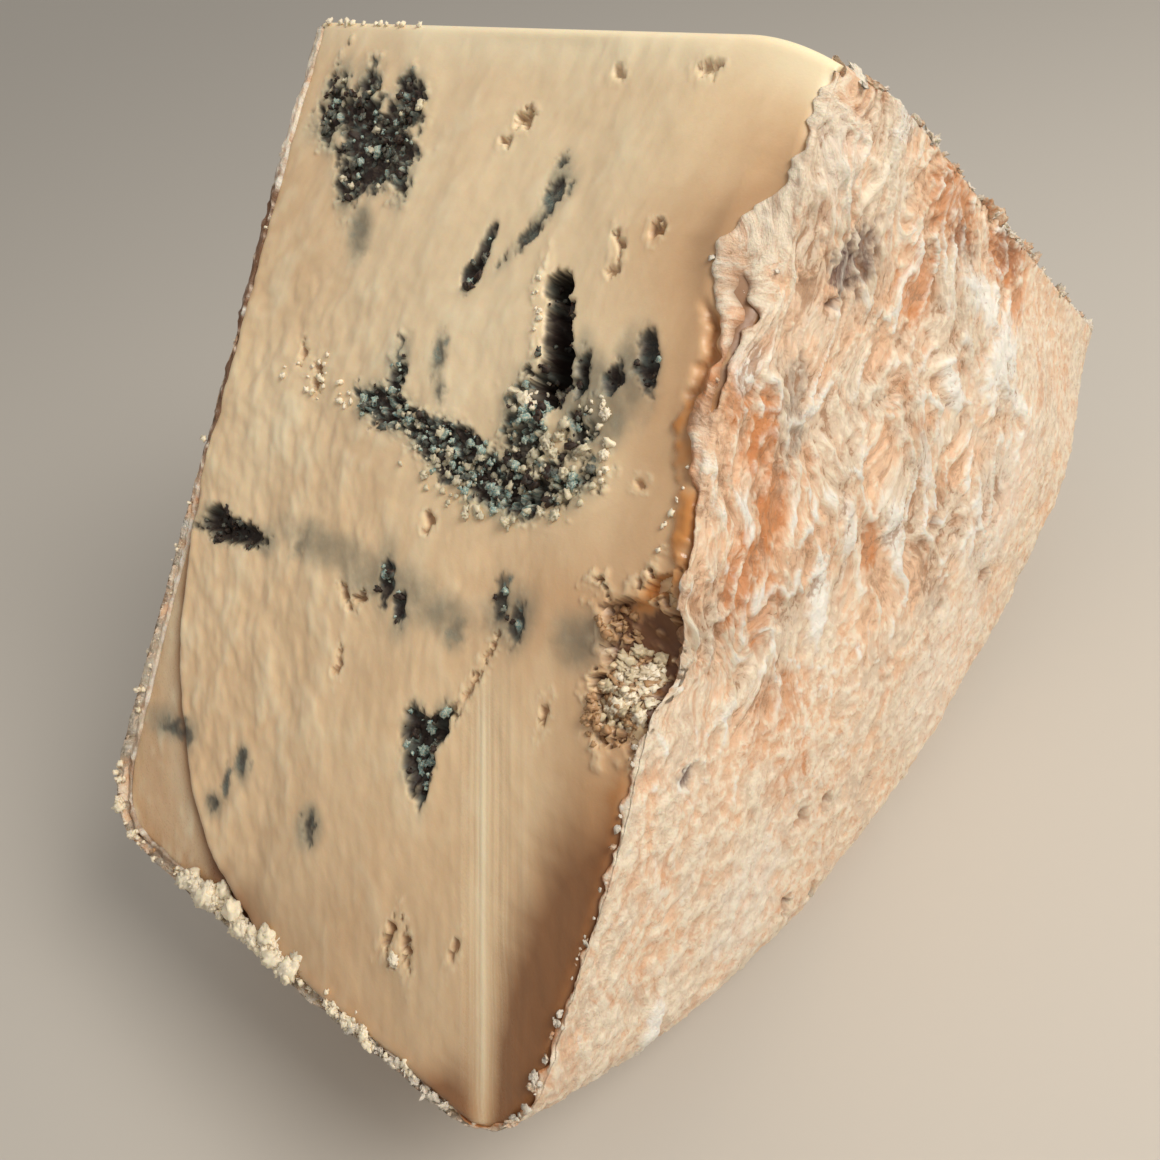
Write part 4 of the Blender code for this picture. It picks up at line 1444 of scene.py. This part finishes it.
    def tint_lip(self, side: Side, kept: Marks, column: int, share: float,
                 reach: Array, crumple: Array) -> None:
        """Colour one column of a lip: cream on its crests, orange and brown where it is thin; the left front
        lip is dark brown with painted white glints on its crests.
        """
        if self.left and side is Side.FRONT:
            shown = np.maximum(ease(reach, 60.0, 50.0), 0.55 * ease(reach, 86.0, 92.0))
            dark = ease(reach, 14.0, 20.0) * shown
            kept["brown"][:, column] = np.clip(0.95 * dark * (1.0 - ease(crumple, 0.25, 0.5)), 0, 1)
            # White on the crests of the crumpled left lip is painted glints.
            kept["white"][:, column] = 0.6 * ease(crumple, 0.15, 0.45)
            return
        thin = bell(np.array(share), 0.85, 0.3)
        amber = thin * (0.75 * ease(reach, 22.0, 30.0) + 0.25 * ease(reach, 60.0, 75.0))
        kept["orange"][:, column] = np.clip(kept["orange"][:, column] + amber, 0, 1)
        for name in ("white", "wax"):
            kept[name][:, column] *= 1.0 - 0.8 * bell(reach, 20.0, 9.0) * (side is Side.FRONT)
        crack = self.crack(side, share, reach)
        kept["orange"][:, column] = np.maximum(kept["orange"][:, column], 0.8 * crack)
        kept["brown"][:, column] = np.maximum(0.6 * ease(crumple, 0.0, -0.3) * thin, 0.75 * crack)


# ---------------------------------------------------------------- loose bits

def crumb_ball(levels: int) -> tuple[Array, list[list[int]]]:
    """The points and faces of a ball of triangles."""
    golden = (1 + 5 ** 0.5) / 2
    points = [(-1, golden, 0), (1, golden, 0), (-1, -golden, 0), (1, -golden, 0), (0, -1, golden),
              (0, 1, golden), (0, -1, -golden), (0, 1, -golden), (golden, 0, -1), (golden, 0, 1),
              (-golden, 0, -1), (-golden, 0, 1)]
    corners = [np.array(p) / np.linalg.norm(p) for p in points]
    faces = [[0, 11, 5], [0, 5, 1], [0, 1, 7], [0, 7, 10], [0, 10, 11], [1, 5, 9], [5, 11, 4],
             [11, 10, 2], [10, 7, 6], [7, 1, 8], [3, 9, 4], [3, 4, 2], [3, 2, 6], [3, 6, 8],
             [3, 8, 9], [4, 9, 5], [2, 4, 11], [6, 2, 10], [8, 6, 7], [9, 8, 1]]
    for _ in range(levels):
        halves: dict[tuple[int, int], int] = {}
        finer = []
        for face in faces:
            middle = []
            for i in range(3):
                pair = tuple(sorted((face[i], face[(i + 1) % 3])))
                if pair not in halves:
                    half = corners[pair[0]] + corners[pair[1]]
                    halves[pair] = len(corners)
                    corners.append(half / np.linalg.norm(half))
                middle.append(halves[pair])
            finer += [[face[0], middle[0], middle[2]], [face[1], middle[1], middle[0]],
                      [face[2], middle[2], middle[1]], middle]
        faces = finer
    return np.array(corners), faces


@dataclass(frozen=True)
class CrumbKind:
    """The marks that one kind of crumb carries, and how rough it is."""

    marks: tuple[tuple[str, float], ...]
    rough: float = 0.45


class Crumb(Enum):
    """The kinds of crumb."""

    BLACK = CrumbKind((("mould", 1.0), ("bloom", 0.0)), 0.75)
    SLATE = CrumbKind((("mould", 0.95), ("bloom", 0.22)), 0.75)
    BLOOM = CrumbKind((("mould", 0.8), ("bloom", 1.0)), 0.75)
    CREAM = CrumbKind((("cream", 0.6), ("wax", 0.4)), 0.65)
    GREY = CrumbKind((("cream", 0.5), ("halo", 0.42), ("wax", 0.15)), 0.65)
    DULL = CrumbKind((("cream", 0.3), ("halo", 0.3), ("brown", 0.12)), 0.7)
    BROWN = CrumbKind((("brown", 0.65), ("amber", 0.2)), 0.7)
    FLAKE = CrumbKind((("rise", 0.9), ("wax", 0.3)), 0.7)
    SKIN = CrumbKind((("rise", 0.6), ("orange", 0.35)), 0.7)


CRUMB_MARKS = ("cream", "halo", "mould", "bloom", "brown", "amber", "rise", "wax", "orange", "calm")
Sizes = tuple[float, float]


class CrumbPile:
    """Crumbs gathered into one piece."""

    def __init__(self, seed: int, big: float = 0.9) -> None:
        """Start with no crumbs; those wider than big get the finer ball."""
        self.rng = np.random.default_rng(seed)
        self.grain = Grain(seed)
        self.big = big
        self.balls = {levels: crumb_ball(levels) for levels in (1, 2)}
        self.shape = Shape()

    def add(self, at: Array, size: float, kind: Crumb, squash: float, out: Array) -> None:
        """Add one crumb.

        Args:
            at: Its middle.
            size: Its width.
            kind: What it is made of.
            squash: Its thickness for its width.
            out: The way its thin side faces.
        """
        spin = Matrix.Rotation(self.rng.uniform(0, 6.28), 3, "Z")
        turn = Vector(out).to_track_quat("Z", "Y").to_matrix() @ spin
        stretch = np.array([self.rng.uniform(0.8, 1.3), self.rng.uniform(0.7, 1.05), squash])
        ball, faces = self.balls[2 if size > self.big else 1]
        lumpy = self.grain.cloud(ball * 1.6 + self.rng.uniform(0, 90, 3), 1.0, 3, 0.75)
        rough = kind.value.rough * min(1.0, 1.3 / size) ** 0.5
        body = ball * (1.0 + rough * lumpy)[:, None] * stretch * (size / 2)
        points = at + body @ np.array(turn).T
        values = {name: np.full(len(points), value) for name, value in kind.value.marks}
        values["lay"] = points + self.rng.uniform(0, 50)
        for name in CRUMB_MARKS:
            values.setdefault(name, np.zeros(len(points)))
        first = self.shape.add_points(points, values)
        self.shape.faces.extend([[first + i for i in face] for face in faces])

    def strew(self, cut: CutFace, spot: Spot, count: int, sizes: Sizes, kind: Crumb) -> None:
        """Strew crumbs over one oval of a cut."""
        away = np.sqrt(self.rng.random(count))
        angle = self.rng.uniform(0, 2 * math.pi, count)
        turn = math.radians(spot.lean)
        side, along = away * np.cos(angle) * spot.half_across, away * np.sin(angle) * spot.half_down
        across = spot.across + side * math.cos(turn) + along * math.sin(turn)
        down = spot.down - side * math.sin(turn) + along * math.cos(turn)
        height, _ = cut.marks(across, down)
        size = sizes[0] + (sizes[1] - sizes[0]) * self.rng.random(count) ** 1.6
        places = cut.plane.place(across, down, height + 0.15 * size)
        for at, wide in zip(places, size):
            self.add(at, wide, kind, self.rng.uniform(0.6, 0.95), cut.plane.out)

    def edge_row(self, cut: CutFace, start: float, stop: float, count: int) -> None:
        """Lay crumbs along the edge between a cut and the rim."""
        for across in self.rng.uniform(start, stop, count):
            size = 0.3 + 0.9 * self.rng.random() ** 2
            down = cut.reach + self.rng.normal(-0.3, 0.45)
            at = cut.plane.spot(across, down, self.rng.uniform(-0.7, 0.3))
            self.add(at, size, Crumb.CREAM if self.rng.random() < 0.8 else Crumb.BROWN, 0.8, cut.plane.out)

    def left_row(self, cut: CutFace, start: float, stop: float, count: int) -> None:
        """Lay small pale specks along the left edge of a cut."""
        for down in self.rng.uniform(start, stop, count):
            across = -cut.wheel.half + self.rng.normal(-0.1, 0.35)
            at = cut.plane.spot(across, down, self.rng.uniform(-0.9, 0.25))
            self.add(at, 0.22 + 0.7 * self.rng.random() ** 2, Crumb.CREAM, 0.8, cut.plane.out)

    def corner_row(self, cut: CutFace, count: int) -> None:
        """Lay bigger crumbs round the lower left corner of a cut."""
        corner = cut.wheel.corner
        for angle in self.rng.uniform(0.0, math.pi / 2, count):
            across = -cut.wheel.half + corner - (corner + self.rng.normal(0, 0.35)) * math.cos(angle)
            down = cut.reach - corner + (corner + self.rng.normal(0, 0.35)) * math.sin(angle)
            at = cut.plane.spot(across, down, self.rng.uniform(-0.6, 0.3))
            self.add(at, self.rng.uniform(0.4, 1.3), Crumb.CREAM, 0.8, cut.plane.out)

    def flake_row(self, cut: CutFace, start: float, stop: float, count: int, sizes: Sizes) -> None:
        """Lay flakes along the edge between a cut and the right rind."""
        for down in self.rng.uniform(start, stop, count):
            here = np.array([down])
            edge = cut.half_width(here, True) - cut.lap_width(here) * self.rng.uniform(0.0, 1.0)
            at = cut.plane.place(edge, here, np.array([self.rng.uniform(0.1, 0.5)]))[0]
            size = sizes[0] + (sizes[1] - sizes[0]) * self.rng.random() ** 2
            tint = Crumb.FLAKE if self.rng.random() < 0.7 else Crumb.SKIN
            self.add(at, size, tint, self.rng.uniform(0.25, 0.5), cut.plane.out + self.rng.normal(0, 0.6, 3))


@dataclass(frozen=True)
class MouldCrumbs:
    """The blue and grey crumbs that lie in the crumbled veins of both cuts."""

    seed: int = 41
    per_area: float = 1.7
    smallest: float = 0.24
    largest: float = 1.05

    def build(self, material: Material, worn: Wear, cuts: dict[Side, CutFace]) -> Piece:
        """Scatter the crumbs and return the piece."""
        pile = CrumbPile(self.seed, 2.0)
        for side in (Side.FRONT, Side.BACK):
            for vein in cuts[side].veins:
                if vein.growth is not Growth.STAINED:
                    self.fill(pile, cuts[side], vein)
        return pile.shape.make("mould_crumbs", "paste", material, worn)

    def fill(self, pile: CrumbPile, cut: CutFace, vein: Vein) -> None:
        """Lay crumbs in one vein."""
        rng = pile.rng
        hollow = vein.growth is Growth.HOLLOW
        for spot in vein.spots:
            area = math.pi * spot.half_across * spot.half_down
            count = int(area * self.per_area * vein.crumbs * (0.55 if hollow else 1.0))
            spread = max(spot.half_across, spot.half_down)
            across = spot.across + rng.uniform(-spread, spread, count * 3)
            down = spot.down + rng.uniform(-spread, spread, count * 3)
            inside = vein.inside(across, down)
            kept = np.flatnonzero((spot.inside(across, down) > -0.2) & (inside > -0.3))[:count]
            if not len(kept):
                continue
            height, _ = cut.marks(across[kept], down[kept])
            for number, level in zip(kept, height):
                size = self.smallest + (self.largest - self.smallest) * rng.random() ** 2.2
                draw = rng.random()
                if draw < vein.blue * 0.55:
                    kind = Crumb.BLOOM
                elif draw < vein.blue * 0.55 + 0.12:
                    kind = Crumb.SLATE
                elif draw < vein.blue * 0.95 + 0.12 and not hollow:
                    kind = Crumb.GREY
                else:
                    kind = Crumb.BLACK
                lift = size * rng.uniform(0.0, 0.4)
                lift += min(0.5, max(0.0, -level) * 0.35) * (kind is not Crumb.BLACK)
                at = cut.plane.spot(across[number], down[number], level + lift)
                pile.add(at, size, kind, rng.uniform(0.6, 1.0), cut.plane.out)
                if size > 0.6:
                    beside = at + rng.normal(0, 0.32 * size, 3)
                    pile.add(beside, size * rng.uniform(0.4, 0.7), kind, rng.uniform(0.6, 1.0), cut.plane.out)


@dataclass(frozen=True)
class RindFlakes:
    """Curled flakes of skin on the edges between the right rind, both cuts and the rim."""

    seed: int = 71
    rows: tuple[tuple[Side, float, float, int, Sizes], ...] = (
        (Side.BACK, 4.0, 96.0, 80, (0.7, 2.2)), (Side.FRONT, 60.0, 99.0, 30, (0.25, 0.8)),
        (Side.FRONT, 84.0, 99.0, 12, (0.5, 1.5)), (Side.FRONT, 12.0, 34.0, 9, (0.4, 1.0)))
    low_row: tuple[float, float, int] = (10.0, 30.0, 26)

    def build(self, material: Material, worn: Wear, cuts: dict[Side, CutFace]) -> Piece:
        """Lay the flakes and return the piece."""
        pile = CrumbPile(self.seed)
        rng = pile.rng
        front = cuts[Side.FRONT]
        for side, *row in self.rows:
            pile.flake_row(cuts[side], *row)
        for across in rng.uniform(*self.low_row):
            at = front.plane.spot(across, front.reach - 0.3, rng.uniform(-0.5, 0.2))
            pile.add(at, rng.uniform(0.5, 1.4), Crumb.FLAKE, rng.uniform(0.3, 0.5), rng.normal(0, 1, 3))
        return pile.shape.make("rind_flakes", "rind", material, worn)


@dataclass(frozen=True)
class PasteCrumbs:
    """Pale crumbs and rolled curls on the cut's edges, its bands and its torn corner."""

    seed: int = 57
    heaps: tuple[tuple[Spot, int, Sizes, Crumb], ...] = (
        (Spot(8.0, 45.0, 9.0, 2.6, -4), 40, (0.4, 1.1), Crumb.GREY),
        (Spot(19.5, 41.0, 5.0, 4.0, 20), 44, (0.4, 1.1), Crumb.GREY),
        (Spot(23.0, 36.5, 1.6, 4.4, 30), 24, (0.4, 1.0), Crumb.CREAM),
        (Spot(-17.0, 40.4, 7.0, 2.0, -6), 20, (0.3, 1.0), Crumb.CREAM),
        (Spot(-17.0, 38.4, 1.0, 2.2, 14), 6, (0.5, 1.1), Crumb.CREAM),
        (Spot(12.3, 29.2, 0.7, 6.4, 20), 12, (0.3, 0.9), Crumb.CREAM),
        (Spot(14.2, 35.0, 1.6, 1.8, 20), 14, (0.5, 1.6), Crumb.CREAM),
        (Spot(13.8, 71.8, 1.1, 3.0, 12), 14, (0.5, 1.2), Crumb.BLOOM),
        (Spot(14.6, 36.6, 2.6, 1.4, 0), 12, (0.6, 1.4), Crumb.BLOOM),
        (Spot(18.0, 91.4, 0.6, 0.5, 0), 3, (0.7, 1.1), Crumb.CREAM),
        (Spot(34.0, 57.2, 2.0, 3.4, 0), 34, (0.4, 1.5), Crumb.CREAM),
        (Spot(33.6, 57.0, 2.4, 3.8, 0), 60, (0.4, 1.3), Crumb.DULL),
        # The brown crumbs in the torn hole are partly painted shade between the cream lumps.
        (Spot(33.4, 58.0, 2.6, 4.4, 0), 70, (0.3, 1.1), Crumb.BROWN),
        (Spot(30.9, 51.6, 1.8, 1.5, 0), 26, (0.3, 0.9), Crumb.BROWN),
        (Spot(33.2, 41.0, 0.4, 5.0, -4), 8, (0.3, 0.8), Crumb.CREAM))
    rim_row: tuple[float, float, int] = (-27.0, 26.0, 64)
    left_rows: tuple[tuple[float, float, int], ...] = ((55.0, 92.0, 24), (2.0, 54.0, 16))
    corner_count: int = 16
    clumps: tuple[tuple[float, float, int], ...] = (
        (-11.5, 3.0, 64), (0.5, 5.0, 70), (13.0, 5.0, 26), (24.0, 5.0, 16))
    top_row: tuple[float, float, int] = (-34.0, -14.0, 16)

    def build(self, material: Material, worn: Wear, cuts: dict[Side, CutFace]) -> Piece:
        """Lay the crumbs and return the piece."""
        pile = CrumbPile(self.seed)
        front = cuts[Side.FRONT]
        rng = pile.rng
        for heap in self.heaps:
            pile.strew(front, *heap)
        for cut in (front, cuts[Side.BACK]):
            pile.edge_row(cut, *self.rim_row)
            for row in self.left_rows:
                pile.left_row(cut, *row)
            pile.corner_row(cut, self.corner_count)
        for middle, spread, count in self.clumps:
            for across in rng.normal(middle, spread / 1.7, count):
                down = front.reach - abs(rng.normal(0.2, 0.75))
                at = front.plane.spot(across, down, rng.uniform(-0.6, 0.5))
                size = 0.4 + 2.1 * rng.random() ** 2.4 * (1.0 if middle < 10 else 0.5)
                pile.add(at, size, Crumb.CREAM, rng.uniform(0.5, 0.8), front.plane.out)
        for across in rng.uniform(*self.top_row):
            at = front.plane.spot(across, 0.2, rng.uniform(-0.2, 0.1))
            pile.add(at, rng.uniform(0.3, 0.9), Crumb.CREAM, 0.7, front.plane.out)
        return pile.shape.make("paste_crumbs", "paste", material, worn)


# ---------------------------------------------------------------- the scene

@dataclass(frozen=True)
class Studio:
    """The floor, the soft light and the camera."""

    lens: float = 34.14
    eye: Triple = (81.26, -83.81, 129.98)
    yaw: float = 49.97
    pitch: float = 40.67
    roll: float = -15.27
    floor_half: float = 3.0
    key_from: Triple = (0.29, 0.05, 0.36)
    key_size: float = 0.20
    key_power: float = 1.5
    key_tone: Colour = (1.0, 0.95, 0.88)
    key_to: Triple = (0.0, 0.0, 0.05)
    sky: float = 0.44
    sky_tone: Colour = (1.0, 0.97, 0.93)
    floor_drop: float = 0.0002

    def build(self) -> None:
        """Set up everything that isn't the cheese."""
        self.lay_floor()
        self.hang_light()
        world = bpy.data.worlds.new("soft_room")
        world.use_nodes = True
        background = world.node_tree.nodes["Background"]
        background.inputs["Color"].default_value = (*self.sky_tone, 1.0)
        background.inputs["Strength"].default_value = self.sky
        bpy.context.scene.world = world
        bpy.context.scene.view_settings.view_transform = "Standard"
        self.set_camera()

    def lay_floor(self) -> None:
        """Lay the plain floor just under the cheese."""
        half = self.floor_half
        mesh = bpy.data.meshes.new("floor")
        corners = [(-half, -half, 0), (half, -half, 0), (half, half, 0), (-half, half, 0)]
        mesh.from_pydata(corners, [], [[0, 1, 2, 3]])
        mesh.materials.append(FloorFinish().build())
        floor = bpy.data.objects.new("floor", mesh)
        floor.location.z = -self.floor_drop
        bpy.context.scene.collection.objects.link(floor)
        floor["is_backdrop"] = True

    def hang_light(self) -> None:
        """Hang one square soft light that faces the cheese."""
        lamp = bpy.data.lights.new("key", "AREA")
        lamp.shape = "SQUARE"
        lamp.size = self.key_size
        lamp.energy = self.key_power
        lamp.color = self.key_tone
        light = bpy.data.objects.new("key", lamp)
        light.location = self.key_from
        way = Vector(self.key_to) - Vector(self.key_from)
        light.rotation_euler = way.to_track_quat("-Z", "Y").to_euler()
        bpy.context.scene.collection.objects.link(light)

    def set_camera(self) -> None:
        """Stand the camera where the cheese is seen from above its front right corner."""
        yaw, pitch, roll = (math.radians(value) for value in (self.yaw, self.pitch, self.roll))
        ahead = Vector((-math.sin(yaw) * math.cos(pitch), math.cos(yaw) * math.cos(pitch), -math.sin(pitch)))
        level = Vector((math.cos(yaw), math.sin(yaw), 0.0))
        over = level.cross(ahead)
        right = math.cos(roll) * level + math.sin(roll) * over
        up = -math.sin(roll) * level + math.cos(roll) * over
        camera = bpy.data.objects.new("camera", bpy.data.cameras.new("camera"))
        camera.data.lens = self.lens
        camera.data.clip_start = 0.005
        pose = Matrix((right, up, -ahead)).transposed().to_4x4()
        pose.translation = Vector(self.eye) * MM
        camera.matrix_world = pose
        bpy.context.scene.collection.objects.link(camera)
        bpy.context.scene.camera = camera


def main() -> None:
    """Build the cheese piece by piece and report each."""
    logging.basicConfig(level=logging.INFO, format="%(name)s: %(message)s")
    low, high = (np.array(corner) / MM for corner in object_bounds())
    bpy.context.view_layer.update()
    wheel = Wheel()
    outline = Outline(wheel)
    point = (low[0] + POINT_FROM_CORNER[0], low[1] + POINT_FROM_CORNER[1], high[2])
    front = Plane(Side.FRONT, math.radians(FRONT_LEAN), point)
    back = Plane(Side.BACK, math.radians(BACK_LEAN), point)
    worn = Wear(front, wheel)
    Studio().build()
    paste = PasteFinish().build()
    rind = RindFinish().build()
    density = 1.0
    cuts = {
        Side.FRONT: CutFace(
            "front_cut", front, back, wheel, FRONT_VEINS, FRONT_TEARS, rows=int(372 * density),
            columns=int(254 * density), seed=11, pared=True, streaked=True,
            dense_rows=((12.5, 5.0, 0.8), (42.0, 5.0, 1.3), (58.0, 3.0, 0.7), (29.0, 5.0, 0.6)),
            dense_columns=((0.45, 0.35, 0.7),)),
        Side.BACK: CutFace(
            "back_cut", back, front, wheel, BACK_VEINS, BACK_TEARS, rows=int(270 * density),
            columns=int(180 * density), seed=23, starts_at=1.05),
    }
    for cut in cuts.values():
        cut.build(paste, worn)
    seam = wheel.radius - wheel.corner + wheel.corner * math.pi / 2 + SEAM_PAST_CORNER
    right = RindSheet(
        "right_rind", front, back, outline, SHEET_END, seam, rows=int(300 * density),
        columns=int(280 * density), lip_columns=12, marks=RIGHT_MARKS, seed=31,
        heart=(6.0, 0.0, 48.0))
    right.build(rind, worn, cuts)
    left = RindSheet(
        "rim_rind", front, back, outline, seam - SHEET_LAP, outline.length() - SHEET_END,
        rows=int(300 * density), columns=int(200 * density), lip_columns=8, marks=(), seed=37,
        heart=(-9.0, 0.0, 40.0), left=True)
    left.build(rind, worn, cuts)
    MouldCrumbs().build(paste, worn, cuts)
    PasteCrumbs().build(paste, worn, cuts)
    RindFlakes().build(rind, worn, cuts)


if __name__ == "__main__":
    main()
